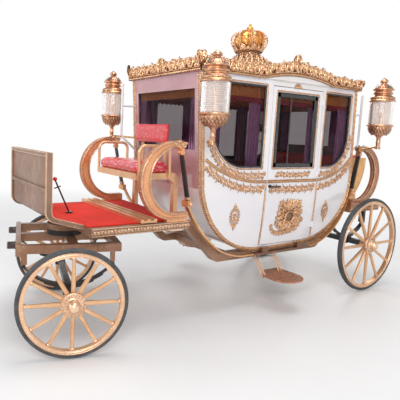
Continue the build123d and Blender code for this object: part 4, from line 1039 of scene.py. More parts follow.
# big curled shell of leaves with a rosette, for a corner or over a door
def crestBoss(pile, at, mapping, size):
    c = np.asarray(at, float)
    fan = np.linspace(-1.25, 1.25, 9)
    scatter(pile, leafForm, c + pairs(np.sin(fan) * -0.1, 0 * fan) * size, pi / 2 + fan,
            pairs(size * (1.0 - 0.18 * np.abs(fan)), size * 0.42), mapping, size * 0.22)
    curls(pile, c + np.array([(0.18, 0.25), (-0.18, 0.25)]) * size, (0.5, pi - 0.5), 0.75 * size,
          mapping, size * 0.3, size * 0.16, mirror=(1, -1))
    scatter(pile, flowerForm, [c + (0, size * 0.42)], [0.2], (size * 0.34, size * 0.34), mapping,
            size * 0.42)
    scatter(pile, beadForm, [c + (0, size * 0.42)], [0], (size * 0.12, size * 0.12), mapping, size * 0.5)


# upright plane through the cresting: along x at a given y, or along y at a given x
def standing(axis, place, facing, start, base, grow):
    def to(p):
        along = start + p[..., 0]
        off = place + facing * (p[..., 2] - 2)
        up = base(along) + p[..., 1] * grow(along)
        return np.stack([along, off, up] if axis == 0 else [off, along, up], -1)
    return to


crestPile = Pile()
for side in (1, -1):
    for facing in (1, -1):
        rng = np.random.default_rng(11 + side)
        mapping = standing(0, side * crestLine["y"], facing, crestLine["rear"], corniceZ, crestGrow)
        length = crestLine["front"] - crestLine["rear"]
        crestRun(crestPile, length, mapping)
        crestBoss(crestPile, (crestLine["peak"] - crestLine["rear"], 50), mapping, 92)
        for x in (360, 720, 1560, 1900):
            crestBoss(crestPile, (x - crestLine["rear"], 44), mapping, 58)
    corner = lambda p: np.stack([crestLine["front"] + 4 + (p[..., 2] - p[..., 0]) * 0.7071,
                                 side * (crestLine["y"] - 2 + (p[..., 2] + p[..., 0]) * 0.7071),
                                 2268 + p[..., 1]], -1)
    scatter(crestPile, flowerForm, (0, 0), 0.3, (54, 54), corner, 22)
    scatter(crestPile, beadForm, (0, 0), 0, (17, 17), corner, 28)
    loop = fullTurn(39)
    ribbon(crestPile, 40 * pairs(np.cos(loop), np.sin(loop)), 12, 17, corner, closed=True, pitch=12,
           wave=0.25)
for x in (crestLine["front"], crestLine["rear"]):
    for facing in (1, -1):
        rng = np.random.default_rng(31)
        mapping = standing(1, x, facing, -crestLine["y"], lambda a: crestLine["base"],
                           lambda a: crestLine["grow"])
        crestRun(crestPile, 2 * crestLine["y"], mapping)
        crestBoss(crestPile, (crestLine["y"], 40), mapping, 96)
crestObj = crestPile.build("carvedCresting", mats["carved"], "chassis", "gold")
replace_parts(crestObj, "roof_cresting")
print("stage: cresting")

# Crown: pearled band, leaves, swelling cap between the arches, orb and finial

crownForm = {"x": 1255, "r": 108, "bulge": 166, "band": 2448, "arches": 8}
# z, radius, leaf, lean
moundRows = ((2322, 262, 84, -0.5), (2344, 222, 90, -0.5), (2374, 178, 88, -0.45), (2408, 142, 74, -0.5))


# radius and height up the outside of the arches, which lean out like a tulip and close flat at the top
def crownProfile(grow):
    b, z = crownForm["bulge"] + grow, crownForm["band"]
    return smooth([(crownForm["r"] + 2, z + 52), (b - 18, z + 96), (b + 2, z + 142), (b + 4, z + 186),
                   (b - 18, z + 226), (b - 60, z + 250), (64, z + 256), (18, z + 246)], 44)


crownPile, capPile = Pile(), Pile()
prof = crownProfile(-14)
sectors = crownForm["arches"]
a = fullTurn(sectors * 12)
puff = np.abs(np.sin(sectors * a / 2)) ** 0.7
r = prof[:, 0:1] * (1 + 0.02 * puff[None, :]) - 16 * (1 - puff[None, :])
crumple = 1 + 0.016 * np.sin(9 * a[None, :] + prof[:, 1:2] / 9)
body = np.stack([crownForm["x"] + r * crumple * np.cos(a), r * crumple * np.sin(a),
                 np.broadcast_to(prof[:, 1:2], r.shape)], -1)
capPile.grid(body, wrapB=True)
arch = crownProfile(8)
archWay = wayAlong(arch)
for i in range(sectors):
    turn = 2 * pi * i / sectors + 0.2
    x, y = crownForm["x"] + arch[:, 0] * cos(turn), arch[:, 0] * sin(turn)
    tube(crownPile, np.stack([x, y, arch[:, 1]], -1), 7.5, 8, up=(0, 0, 1))

    def onArch(p, turn=turn):
        rr = np.interp(p[..., 0], archWay, arch[:, 0]) + p[..., 2] * 0.9 + 5
        z = np.interp(p[..., 0], archWay, arch[:, 1])
        return np.stack([crownForm["x"] + rr * cos(turn) - p[..., 1] * sin(turn),
                         rr * sin(turn) + p[..., 1] * cos(turn), z], -1)
    at = np.arange(12, archWay[-1] - 16, 15)
    scatter(crownPile, beadForm, pairs(at, 0 * at), at, (7, 7), onArch, 8)
    for sign in (1, -1):
        scatter(crownPile, leafForm, pairs(at[::2], sign * 5.0), sign * 0.9,
                (26, 13), onArch, 7)


# ring about the crown's axis
def onBand(radius, z, lean=0.0):
    return onRing((crownForm["x"], 0), radius, z, lean)


bandR, bandZ = crownForm["r"] + 1, crownForm["band"]
around = 2 * pi * bandR
for z in (4, 44):
    ribbon(crownPile, evenly([(0, z), (around, z)], 260), 11, 9, onBand(bandR, bandZ), pitch=12.2,
           wave=0.35)
at = np.arange(16) * around / 16
scatter(crownPile, flowerForm, pairs(at[::2], 24.0), at[::2], (15, 15), onBand(bandR, bandZ), 10)
scatter(crownPile, beadForm, pairs(at[1::2], 24.0), at[1::2], (14, 10), onBand(bandR, bandZ), 12)
for k, (tall, turnBy) in enumerate(((74, 0.0), (52, 0.5))):
    at8 = (np.arange(8) + 0.5 + turnBy) * around / 8
    scatter(crownPile, leafForm, pairs(at8, 44.0), pi / 2, (tall, tall * 0.75),
            onBand(bandR + 4, bandZ, 0.42), 14)
    for sign in (1, -1):
        scatter(crownPile, leafForm, pairs(at8, 44.0), pi / 2 - sign * 0.7,
                (tall * 0.62, tall * 0.4), onBand(bandR + 3, bandZ, 0.42), 11)
for row, (height, radius, size, lean) in enumerate(moundRows):
    count = 26 - 4 * row
    full = 2 * pi * radius
    at = (np.arange(count) + 0.5 * (row % 2)) * full / count
    jitter = rng.uniform(-0.25, 0.25, count)
    scatter(crownPile, leafForm, pairs(at, 0.0), pi / 2 + jitter, (size, size * 0.5),
            onBand(radius, height, lean), 20)
    curls(crownPile, pairs(at + full / count / 2, 6.0), np.where(np.arange(count) % 2, 0.5, pi - 0.5),
          42.0, onBand(radius + 4, height, lean), 18, 12, byTurns(count))
    scatter(crownPile, flowerForm, pairs(at[::4], 30.0), at[::4], (20, 20),
            onBand(radius + 6, height, lean), 16)
turned(crownPile, [(270, 2312), (250, 2330), (214, 2352), (180, 2374), (150, 2400), (118, 2430),
                   (106, 2448), (104, 2510)],
       (crownForm["x"], 0, 0), sides=48)
orb = smooth([(14, 2690), (26, 2696), (20, 2702), (34, 2714), (37, 2726), (32, 2742), (20, 2756),
              (11, 2764), (9, 2768), (14, 2773), (12, 2779), (6, 2784), (0.2, 2788)], 60)
turned(capPile, pairs(orb[:, 0], orb[:, 1]), (crownForm["x"], 0, 0), sides=40, flutes=10, depth=0.08)
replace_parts(crownPile.build("crownLeaves", mats["carved"], "chassis", "gold"), "roof_crown")
capPile.build("crownCap", mats["orangeGold"], "chassis", "gold")
print("stage: crown")

# Lamps: stepped cap, leafed lip, cup, and a fluted chimney that stands for the plain glass

lampAt = {"x": (2387, 183), "y": 838, "foot": 1559, "glass": (244, 476), "r": 115}
capSteps = [(4, 474), (120, 474), (124, 481), (121, 489), (112, 494), (110, 503), (114, 509), (109, 516),
            (106, 524), (92, 530),
            (80, 537), (77, 545), (88, 551), (92, 558), (90, 566), (78, 572), (74, 579), (84, 585),
            (97, 590), (100, 596),
            (97, 603), (82, 608), (63, 623), (47, 640), (37, 651), (27, 656), (24, 661), (36, 669),
            (40, 677), (36, 689), (24, 699), (17, 706), (9, 711), (1, 718)]
cupSteps = [(2, -4), (19, -4), (28, 2), (29, 9), (22, 17), (20, 24), (20, 58), (25, 65), (20, 72),
            (20, 108), (24, 118), (33, 130),
            (50, 144), (74, 155), (79, 162), (91, 174), (103, 194), (108, 212), (109, 224), (119, 228),
            (123, 235), (121, 242), (119, 246), (4, 247)]
# rows round a lamp: form, count, shift, radius for the spacing and radius they stand at, height, lean,
# turn, size, lift
lampLeaves = [
    (leafForm, 26, 0.0, (110, 110), 495, -0.1, pi / 2, (27, 22), 6),
    (budForm, 20, 0.0, (90, 92), 604, -0.95, pi / 2, (46, 22), 5),
    (leafForm, 20, 0.0, (108, 108), 224, 0.18, -pi / 2, (44, 35.2), 6),
    (leafForm, 20, 0.5, (103, 103), 198, 0.38, -pi / 2, (42, 33.6), 6),
    (leafForm, 20, 0.0, (88, 88), 172, 0.58, -pi / 2, (36, 28.8), 6),
]
chimneys = []
for side, word in sides:
    for x, where in zip(lampAt["x"], ("front", "rear")):
        trim, glass = Pile(), Pile()
        centre = (x, side * lampAt["y"], lampAt["foot"])
        turned(trim, capSteps, centre, sides=32)
        turned(trim, cupSteps, centre, sides=32)
        ring = lambda radius, z, lean=0.0: onRing(centre, radius, centre[2] + z, lean)
        for form, count, shift, (spacing, r), z, lean, turn, size, lift in lampLeaves:
            at = (np.arange(count) + shift) * 2 * pi * spacing / count
            scatter(trim, form, pairs(at, 0.0), turn, size, ring(r, z, lean), lift)
        at = np.arange(40) * 2 * pi * 121 / 40
        scatter(trim, beadForm, pairs(at, 0.0), at, (5, 5), ring(120, 236), 4)
        trim.build(word + "_" + where + "LampTrim", mats["copper"], "chassis", "gold")
        z = np.linspace(lampAt["glass"][0] + 2, lampAt["glass"][1] - 1, 58)
        t = fullTurn(48)
        flute = 1 - 0.02 * np.abs(np.cos(6 * t))[None, :]
        ripple = 1 + 0.01 * np.cos(z * 2 * pi / 16)[:, None]
        for r, way in ((lampAt["r"] - 1, 1), (lampAt["r"] - 6, -1)):
            rr = r * flute * ripple
            g = np.stack([x + rr * np.cos(t), centre[1] + rr * np.sin(t), lampAt["foot"] + z[:, None] + 0
                          * rr], -1)
            glass.grid(g[::way], wrapB=True)
        chimneys.append(glass.build(word + "_" + where + "Chimney", mats["chimney"], "chassis", "glass"))
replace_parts(chimneys[0], "lamp_glasses")
print("stage: lamps")

# C-springs: beaded edges, lattice in the channels, a leafed head with its shackle, strap clamps

springForm = {"r": 321, "y": 566, "z": 1255, "half": 25, "front": 2545, "rear": 0, "head": 48, "mid": 93,
              "foot": 56, "tail": 152}


# surface over a line of (x, z) points: way along, way across, lift
def alongLine(path, across, outward):
    n = normals(path) * outward
    way = wayAlong(path)

    def to(p):
        a = p[..., 0]
        x = np.interp(a, way, path[:, 0]) + p[..., 2] * np.interp(a, way, n[:, 0])
        z = np.interp(a, way, path[:, 1]) + p[..., 2] * np.interp(a, way, n[:, 1])
        return np.stack([x, across + p[..., 1], z], -1)
    return to


# outer and inner edge of a C-spring in its side view, from the head to the foot
def springLines(facing, x, inset=0):
    f = springForm
    r, top = f["r"] - inset, f["r"] - f["head"] + inset
    outer = arcThrough((0, r), (facing * r, 0), (0, -r), 90)
    inner = arcThrough((0, top), (facing * (f["r"] - f["mid"] + inset), 0),
                       (0, -(f["r"] - f["foot"] + inset)), 80)
    tail = np.array([(-facing * (f["tail"] - 4.0), 0.0)])
    outer = np.vstack([outer, outer[-1:] + tail])
    inner = np.vstack([inner, inner[-1:] + tail])
    return outer + (x, f["z"]), inner + (x, f["z"])


# gilding of one C-spring
def springTrim(side, end):
    facing = 1 if end == "front" else -1
    f, x = springForm, springForm[end]
    gilt, ground = Pile(), Pile()
    for edge in (f["half"], -f["half"]):
        out = 1 if edge > 0 else -1
        place = onWall(out * (f["y"] * side + edge), out, 0.3)
        for inset, width, high in ((5, 8, 5), (13, 4, 3)):
            outer, inner = springLines(facing, x, inset)
            ribbon(gilt, evenly(outer, 190), width, high, place, sides=4, pitch=12, wave=0.4)
            ribbon(gilt, evenly(inner, 160), width + 2, high + 1, place, sides=4, pitch=12, wave=0.4)
        outer, inner = springLines(facing, x, 20)
        ribbon(ground, evenly(outer, 90), 3.5, 1.5, place, sides=3)
        ribbon(ground, evenly(inner, 80), 3.5, 1.5, place, sides=3)
    outer, inner = springLines(facing, x, 5)
    for line, outward in ((outer, facing), (inner, -facing)):
        line = evenly(line, 240)
        to = alongLine(line, f["y"] * side, outward)
        length = lengthOf(line)
        a = np.linspace(4, length - 4, 200)
        ground.grid(to(np.stack(np.broadcast_arrays(a[:, None], [[-16.0, 16.0]], 0.5), -1)))
        n = int(length / 21)
        b = spaced(n, length)
        flip = byTurns(n)
        curls(gilt, pairs(b - 7, -flip * 10.0), flip * 0.25, 21.0, to, 5, 4.6, mirror=flip)
        scatter(gilt, budForm, pairs(b, flip * 9.0), -flip * 0.6, (21, 11), to, 5)
        scatter(gilt, beadForm, pairs(b + 8, 0 * b), b, (3.4, 3.4), to, 5)
    for out in (1, -1):
        y = f["y"] * side + out * f["half"]
        place = lambda p: np.stack([x - facing * p[..., 0], y + out * p[..., 2], f["z"] + p[..., 1]], -1)
        scatter(gilt, leafForm, [(8, 312), (30, 302), (52, 296), (20, 290)], [0.25, -0.1, -0.5, pi - 0.3],
                np.array([(52, 26), (56, 28), (50, 30), (56, 26)]), place, 9)
        curls(gilt, np.array([(62, 262), (84, 268)]), [0.2, pi - 0.5], [40, 26], place, 9, 8,
              mirror=[1, -1])
        scatter(gilt, flowerForm, [(66, 282)], [0.1], (18, 18), place, 13)
    y = f["y"] * side + np.linspace(-32, 32, 9)
    pin = np.stack([0 * y + x - facing * 74.0, y, 0 * y + f["z"] + 226.0], -1)
    tube(gilt, pin, np.array([5, 10, 12, 9, 9, 9, 12, 10, 5.0]), 14, up=(0, 0, 1))
    return gilt, ground


strapEnds = {"front": ((2472, 1462.7), (2387, 1083)), "rear": ((73, 1462.7), (150, 1083))}
for side, word in sides:
    for end in ("front", "rear"):
        gilt, ground = springTrim(side, end)
        (xt, zt), (xl, zl) = strapEnds[end]
        t = np.array([xl - xt, 0, zl - zt], float)
        t /= np.linalg.norm(t)
        low = np.array([xl, side * springForm["y"], zl])
        ring = chain([(-12, -27), (12, -27), (12, 27), (-12, 27), (-12, -27)], 7)[:-1]
        for above in (12, 24):
            tube(gilt, low - t * above + np.stack([ring[:, 0], ring[:, 1], 0 * ring[:, 0]], -1), 4.2,
                 closed=True)
        knob = [(0.1, 0), (7, 0), (9, 5), (8, 9), (15, 14), (17, 21), (14, 29), (7, 34), (0.1, 35)]
        turned(gilt, np.array(knob) * (1, side), (xl, side * 592, zl - 26), axis=1, sides=16)
        gilt.build(word + "_" + end + "SpringGilding", mats["pale"], "chassis", "gold")
        ground.build(word + "_" + end + "SpringGround", mats["redLattice"], "chassis", "trim_red")
print("stage: springs")

# Curtains, pelmets and their valances, hung inside the windows

drapeForm = {"top": 2104, "pelmet": 1985, "valance": 1936, "y": 513, "span": (240, 2254), "pleat": 24,
             "deep": 6}
curtainForm = {"y": 506, "top": 1992, "low": 1335, "pleat": 30, "deep": 9,
               "panels": {"front": ((1545, 1690), (2020, 2190)), "door": ((800, 880), (1320, 1400)),
                          "rear": ((240, 400), (610, 690))}}
endDrape = {"at": {"front": (2248, 452), "rear": (214, 370)}, "pelmet": (2060, 1950),
            "curtain": (1960, 1500), "past": 40, "inner": 90, "outer": 36}


# pleated sheet between two ends: the pleats deepen towards the hem, which may be scalloped
def hanging(pile, start, end, top, low, place, pleat, deep, rows=16, scallop=0.0):
    count = max(2, int((end - start) / pleat))
    t = np.linspace(0, 1, count * 8 + 1)[None, :]
    v = np.linspace(0, 1, rows)[:, None]
    drop = (top - low) * (1 - scallop + scallop * np.abs(np.sin(pi * count * t / 3)))
    out = deep * (0.45 + 0.55 * v) * np.sin(2 * pi * count * t + 0.5 * np.sin(3 * v + 9 * t))
    points = np.stack([start + (end - start) * t + 0 * v, out, top - drop * v], -1)
    pile.grid(place(points))
    a = points
    u, w = a[1:, :-1] - a[:-1, :-1], a[:-1, 1:] - a[:-1, :-1]
    return float(np.linalg.norm(np.cross(u, w), axis=-1).sum()) * 1e-6


# the size of cloth of this area that hangs from top to low
def cut(area, top, low):
    length = (top - low) * 0.001
    return area / length, length


hung = []


# builds one sheet and notes the size of its cloth
def hang(name, look, span, top, low, place, pleat, deep, held, rests, **more):
    piece = Pile()
    area = hanging(piece, *span, top, low, place, pleat, deep, **more)
    hung.append((piece.build(name, mats[look], "chassis", "drape"), cut(area, top, low), held, rests))


for side, word in sides:
    d, c = drapeForm, curtainForm
    along = lambda p: np.stack([p[..., 0], side * (d["y"] + p[..., 1]), p[..., 2]], -1)
    inside = lambda p: np.stack([p[..., 0], side * (c["y"] - 9 + p[..., 1]), p[..., 2]], -1)
    rests = [word + "_front_quarter", word + "_rear_quarter", "roof"]
    hang(word + "Pelmet", "pelmet", d["span"], d["top"], d["pelmet"], along, d["pleat"], d["deep"],
         "gathered", rests)
    hang(word + "Valance", "valance", d["span"], d["pelmet"] + 4, d["valance"], along, 18, 4, "gathered",
         rests, rows=8, scallop=0.3)
    for window, panels in c["panels"].items():
        for letter, span in zip("AB", panels):
            hang(word + window.capitalize() + "Curtain" + letter, "curtain", span, c["top"], c["low"],
                 inside, c["pleat"], c["deep"], "hung", rests, rows=30)
for end, (x, half) in endDrape["at"].items():
    across = lambda p: np.stack([x + p[..., 1], p[..., 0], p[..., 2]], -1)
    rests = [end + "_wall", "roof"]
    wide = half + endDrape["past"]
    hang(end + "Pelmet", "pelmet", (-wide, wide), *endDrape["pelmet"], across, 24, 6, "gathered", rests)
    for letter, sign in zip("AB", (1, -1)):
        span = sorted((sign * (half - endDrape["inner"]), sign * (half + endDrape["outer"])))
        hang(end + "EndCurtain" + letter, "curtain", span, *endDrape["curtain"], across, 30, 7, "hung",
             rests, rows=24)
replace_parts(hung[0][0], "window_drapes")
print("stage: drapes")

# Carpet on the driver's platform, swept up the footboard

carpetForm = {"rear": 2385, "fold": 3274, "top": 921.6, "half": 537, "sweepHalf": 441,
              "foot": (3494, 983.6),
              "bend": (3518.6, 1000.5, 3528.6, 1029.7), "end": (3528.6, 1060), "thick": 5.5}


# closed thin layer that follows the floor and the footboard
def carpetSheet():
    c = carpetForm
    line = chain([(c["rear"], c["top"]), (c["fold"] - 2, c["top"]), (c["fold"], c["top"]), c["foot"],
                  c["bend"], c["end"]], 22)
    half = np.where(line[:, 0] < c["fold"] - 1, c["half"], c["sweepHalf"])
    n = normals(line)
    across = np.linspace(-1, 1, 33)
    lift = 0.5 * np.sin(line[:, :1] / 37) * np.cos(5 * across)[None, :]
    rows = []
    for depth in (0, -c["thick"]):
        x = line[:, :1] + n[:, :1] * (depth + lift * (depth == 0))
        z = line[:, 1:] + n[:, 1:] * (depth + lift * (depth == 0))
        rows.append(np.stack([x, half[:, None] * across[None, :] + 0 * x, z], -1))
    loop = np.concatenate([rows[0], rows[1][:, ::-1]], 1)
    piece = Pile()
    piece.grid(loop, wrapB=True)
    j, wide = np.arange(32), 66
    cap = np.stack([j, j + 1, wide - 2 - j, wide - 1 - j], -1)
    piece.add(np.zeros((0, 3)), np.concatenate([cap, cap[:, ::-1] + (len(line) - 1) * wide])
              - piece.count)
    area = float((np.diff(wayAlong(line)) * 2 * half[1:]).sum()) * 1e-6
    return piece, (2 * c["half"] * 0.001, lengthOf(line) * 0.001), area


piece, flat, area = carpetSheet()
carpetObj = piece.build("platformCarpet", mats["carpet"], "chassis", "carpet")
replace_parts(carpetObj, "platform_carpet")
print("stage: carpet")

# Cushions: boxes that are blown up as cloth, with a piped seam round them


# applies the object's modifiers to its mesh
def settled(obj):
    mesh = bpy.data.meshes.new_from_object(obj.evaluated_get(bpy.context.evaluated_depsgraph_get()))
    obj.modifiers.clear()
    obj.data = mesh


# the mesh's points as an array, in metres
def pointsOf(obj):
    p = np.empty(len(obj.data.vertices) * 3, np.float32)
    obj.data.vertices.foreach_get("co", p)
    return p.reshape(-1, 3).astype(float)


filling = {"frames": 20, "quality": 5, "pressure": 4.0, "shrink": 7.0, "round": 0.3, "wrinkle": 0.0011}


# padded box between two corners: rounded, remeshed, blown up and capped, flat where it rests
def stuffed(name, low, high, material, grain, cap, levels=0):
    lo, hi = np.array(low, float) + filling["shrink"], np.array(high, float) - filling["shrink"]
    lo[2] = low[2]
    corners = world([[x, y, z] for x in (lo[0], hi[0]) for y in (lo[1], hi[1]) for z in (lo[2], hi[2])])
    mesh = bpy.data.meshes.new(name)
    mesh.from_pydata(corners.tolist(), [],
                     [(0, 1, 3, 2), (4, 6, 7, 5), (0, 4, 5, 1), (2, 3, 7, 6), (0, 2, 6, 4), (1, 5, 7, 3)])
    obj = linked(name, mesh)
    rounded = obj.modifiers.new("rounded", "BEVEL")
    rounded.width, rounded.segments = filling["round"] * min(hi - lo) * 0.001, 4
    even = obj.modifiers.new("even", "REMESH")
    even.mode, even.voxel_size = "VOXEL", grain
    settled(obj)
    start = pointsOf(obj)
    blown = obj.modifiers.new("filling", "CLOTH")
    blown.settings.quality = filling["quality"]
    blown.settings.use_pressure = True
    blown.settings.uniform_pressure_force = filling["pressure"]
    blown.settings.effector_weights.gravity = 0
    blown.point_cache.frame_start, blown.point_cache.frame_end = 1, filling["frames"]
    for step in range(1, filling["frames"] + 1):
        bpy.context.scene.frame_set(step)
    settled(obj)
    bpy.context.scene.frame_set(1)
    move = pointsOf(obj) - start
    far = np.linalg.norm(move, axis=1, keepdims=True)
    p = start + move * np.minimum(1, cap * 0.001 / np.maximum(far, 1e-9))
    middle, half = world((np.array(low) + high) / 2.0), (np.array(high, float) - low) * 0.0005
    u, v = (p[:, 0] - middle[0]) / half[0], (p[:, 1] - middle[1]) / half[1]
    crown = 0.5 * cap * 0.001 * np.clip((1 - u ** 2) * (1 - v ** 2), 0, 1)
    p[:, 2] += np.where(p[:, 2] > middle[2], crown if half[2] < half[0] else 0, 0)
    x, y = p[:, 0], p[:, 1]
    wrinkle = filling["wrinkle"] * np.sin(x * 61 + 5
                                          * np.sin(y * 17)) * np.sin(y * 43 + 3 * np.sin(x * 23))
    p[:, 2] = np.maximum(p[:, 2] + wrinkle * (p[:, 2] > middle[2]), world(np.array(low, float))[2])
    obj.data.vertices.foreach_set("co", p.astype(np.float32).ravel())
    obj.data.update()
    obj.data.polygons.foreach_set("use_smooth", np.ones(len(obj.data.polygons), bool))
    obj.data.materials.clear()
    obj.data.materials.append(material)
    if levels:
        soft = obj.modifiers.new("soft", "SUBSURF")
        soft.levels = soft.render_levels = levels
    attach(obj, "chassis")
    return obj


# welt round a cushion where a plane cuts it: the widest point in each direction
def piping(pile, obj, axis, at, inset=1.5):
    p = pointsOf(obj) * 1000
    p[:, 0] -= rearAxleX
    near = p[np.abs(p[:, axis] - at) < 7]
    u, v = [k for k in (0, 1, 2) if k != axis]
    centre = near.mean(0)
    angle = np.arctan2(near[:, v] - centre[v], near[:, u] - centre[u])
    order = np.argsort(angle)
    ring = near[order]
    count = 120
    steps = np.linspace(-pi, pi, count, endpoint=False)
    far = np.hypot(ring[:, u] - centre[u], ring[:, v] - centre[v])
    reach = np.interp(steps, angle[order], far, period=2 * pi)
    path = np.zeros((count, 3))
    path[:, u] = centre[u] + (reach - inset) * np.cos(steps)
    path[:, v] = centre[v] + (reach - inset) * np.sin(steps)
    path[:, axis] = at
    up = np.zeros(3)
    up[axis] = 1
    tube(pile, path, 4.5, 8, up=up, closed=True)


# name: low corner, high corner, finish, voxel, cap, fill, seam's axis and place
cushions = {
    "driverSeatCushion": ((2420, -356, 1293.5), (2779, 356, 1382), "seat", 0.0135, 14, 0.85, (2, 1326)),
    "driverBackCushion": ((2385, -277, 1543), (2434, 277, 1723), "seatBack", 0.011, 8, 0.8, (0, 2410)),
    "footmanCushion": ((-304, -396, 1404.5), (-16, 396, 1464), "cushion", 0.0145, 9, 0.8, (2, 1436)),
}
piped = Pile()
first = {}
for name, (low, high, look, grain, cap, fill, (axis, at)) in cushions.items():
    first[name] = stuffed(name, low, high, mats[look], grain, cap, 1)
    piping(piped, first[name], axis, at)
# the same for the cabin, without piping; z runs over the bench seat or the back rest
benchForm = {"half": 500, "seat": (980.5, 1098), "back": (1104, 1478), "grain": 0.015, "cap": 12,
             "fill": 0.8}
benches = {"cabinSeatRear": (322, 700, "seat"), "cabinBackRear": (206, 318, "back"),
           "cabinSeatFront": (1722, 2098, "seat"), "cabinBackFront": (2102, 2186, "back")}
for name, (u0, u1, level) in benches.items():
    low, high = benchForm[level]
    first[name] = stuffed(name, (u0, -benchForm["half"], low), (u1, benchForm["half"], high),
                          mats["cushion"],
                          benchForm["grain"], benchForm["cap"])
piped.build("cushionPiping", mats["cushion"], "chassis", "trim_red")
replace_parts(first["driverSeatCushion"], "driver_seat_cushions")
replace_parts(first["footmanCushion"], "rear_seat_cushion")
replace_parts(first["cabinSeatRear"], "cabin_cushions")
print("stage: cushions")

# Carved strips along both platforms

deckBand = {"low": 851, "high": 915, "y": 595, "driver": (2381, 3274), "rear": (-372, 178), "end": 590}


# beaded borders with a running scroll between them
def strip(pile, x0, x1, mapping):
    length, low, high = x1 - x0, deckBand["low"], deckBand["high"]
    for z in (low + 5, high - 5):
        ribbon(pile, evenly([(x0, z), (x1, z)], int(length / 3.1)), 9, 6, mapping, pitch=9.5, wave=0.35)
    n = int(length / 28)
    a = x0 + spaced(n, length)
    flip = byTurns(n)
    mid = (low + high) / 2
    curls(pile, pairs(a - 9, mid - flip * 14.0), flip * 0.3, 27.0, mapping, 7, 5.4, mirror=flip)
    scatter(pile, leafForm, pairs(a, mid + flip * 15.0), -flip * 0.5, (26, 13), mapping, 7)
    scatter(pile, leafForm, pairs(a - 4, mid - flip * 4.0), pi - flip * 0.7, (20, 11), mapping, 6)
    scatter(pile, beadForm, pairs(a + 11, mid - flip * 16.0), a, (4, 4), mapping, 5)
    scatter(pile, beadForm, pairs(a + 2, mid + flip * 4.0), a, (3, 3), mapping, 5)


stripPile = Pile()
for side in (1, -1):
    for x0, x1 in (deckBand["driver"], deckBand["rear"]):
        strip(stripPile, x0 + 2, x1 - 2, onWall(deckBand["y"], side))
strip(stripPile, -deckBand["end"], deckBand["end"], onEnd(deckBand["rear"][0], -1))
stripPile.build("platformStrips", mats["pale"], "chassis", "gold")

# Dark studs at the front of the fore-carriage

studForm = {"x": 399, "y": 262, "z": 730.5, "r": 28.5, "long": 66}
studs = Pile()
for side in (1, -1):
    s = studForm
    ends = [(0.1, s["long"]), (s["r"] - 8, s["long"]), (s["r"], s["long"] - 7), (s["r"], 9),
            (s["r"] + 5, 7), (s["r"] + 5, 3)]
    turned(studs, ends, (s["x"], side * s["y"], s["z"]), axis=0, sides=20)
studs.build("foreStuds", mats["stud"], "fore_carriage", "black_iron", steered)

# Pale lips on the dashboard's borders

dashForm = {"front": 3576, "top": 1463, "foot": 886, "fold": 3274, "slope": 0.283, "bend": 64,
            "half": 452}


# the border's side view at a depth behind its front, from the platform's end to the top
def dashLine(depth):
    d = dashForm
    run, x, bend = sqrt(1 + d["slope"] ** 2), d["front"] - depth, d["bend"] - 0.58 * depth
    foot = d["foot"] + 0.74 * depth
    a = (x - bend / run, foot + d["slope"] * (x - d["fold"] - bend / run))
    b = (x, foot + d["slope"] * (x - d["fold"]) + bend)
    r = bend / 0.756
    way = r / sqrt(r * r + bend * bend)
    return chain([(d["fold"] + 4, foot), a, (x - r + r * way, b[1] - bend * way, *b), (x, d["top"])], 10)


lips = Pile()
for side in (1, -1):
    for depth in (0.5, 44.5):
        line = evenly(dashLine(depth), 160)
        for edge in (-9, 9):
            y = side * dashForm["half"] + edge
            tube(lips, np.stack([line[:, 0], 0 * line[:, 0] + y, line[:, 1]], -1), 2.6, 6, up=(0, 1, 0))
for depth in (0.5, 44.5):
    for z in (1462, 1436):
        y = np.linspace(-dashForm["half"], dashForm["half"], 12)
        bar = np.stack([0 * y + dashForm["front"] - depth, y, 0 * y + z], -1)
        tube(lips, bar, 2.4, 6)
lips.build("dashLips", mats["pale"], "chassis", "gold")
print("stage: dashboard lips")

# Wheels: moulded rim, spoke collars, petalled flange and nose

wheelForm = {"front": (405, 697), "rear": (510, 733), "spokes": 12, "petals": 62}
# radius and height of the turned hub, from the flange out to the nose
hubSteps = [(40, 24), (70, 24), (88, 26), (91, 30), (88, 34), (80, 36), (70, 37), (58, 40), (48, 44),
            (44, 52), (47, 58),
            (40, 64), (37, 72), (43, 78), (41, 84), (37, 90), (34, 97), (28, 103), (20, 107), (10, 109),
            (0.2, 110)]


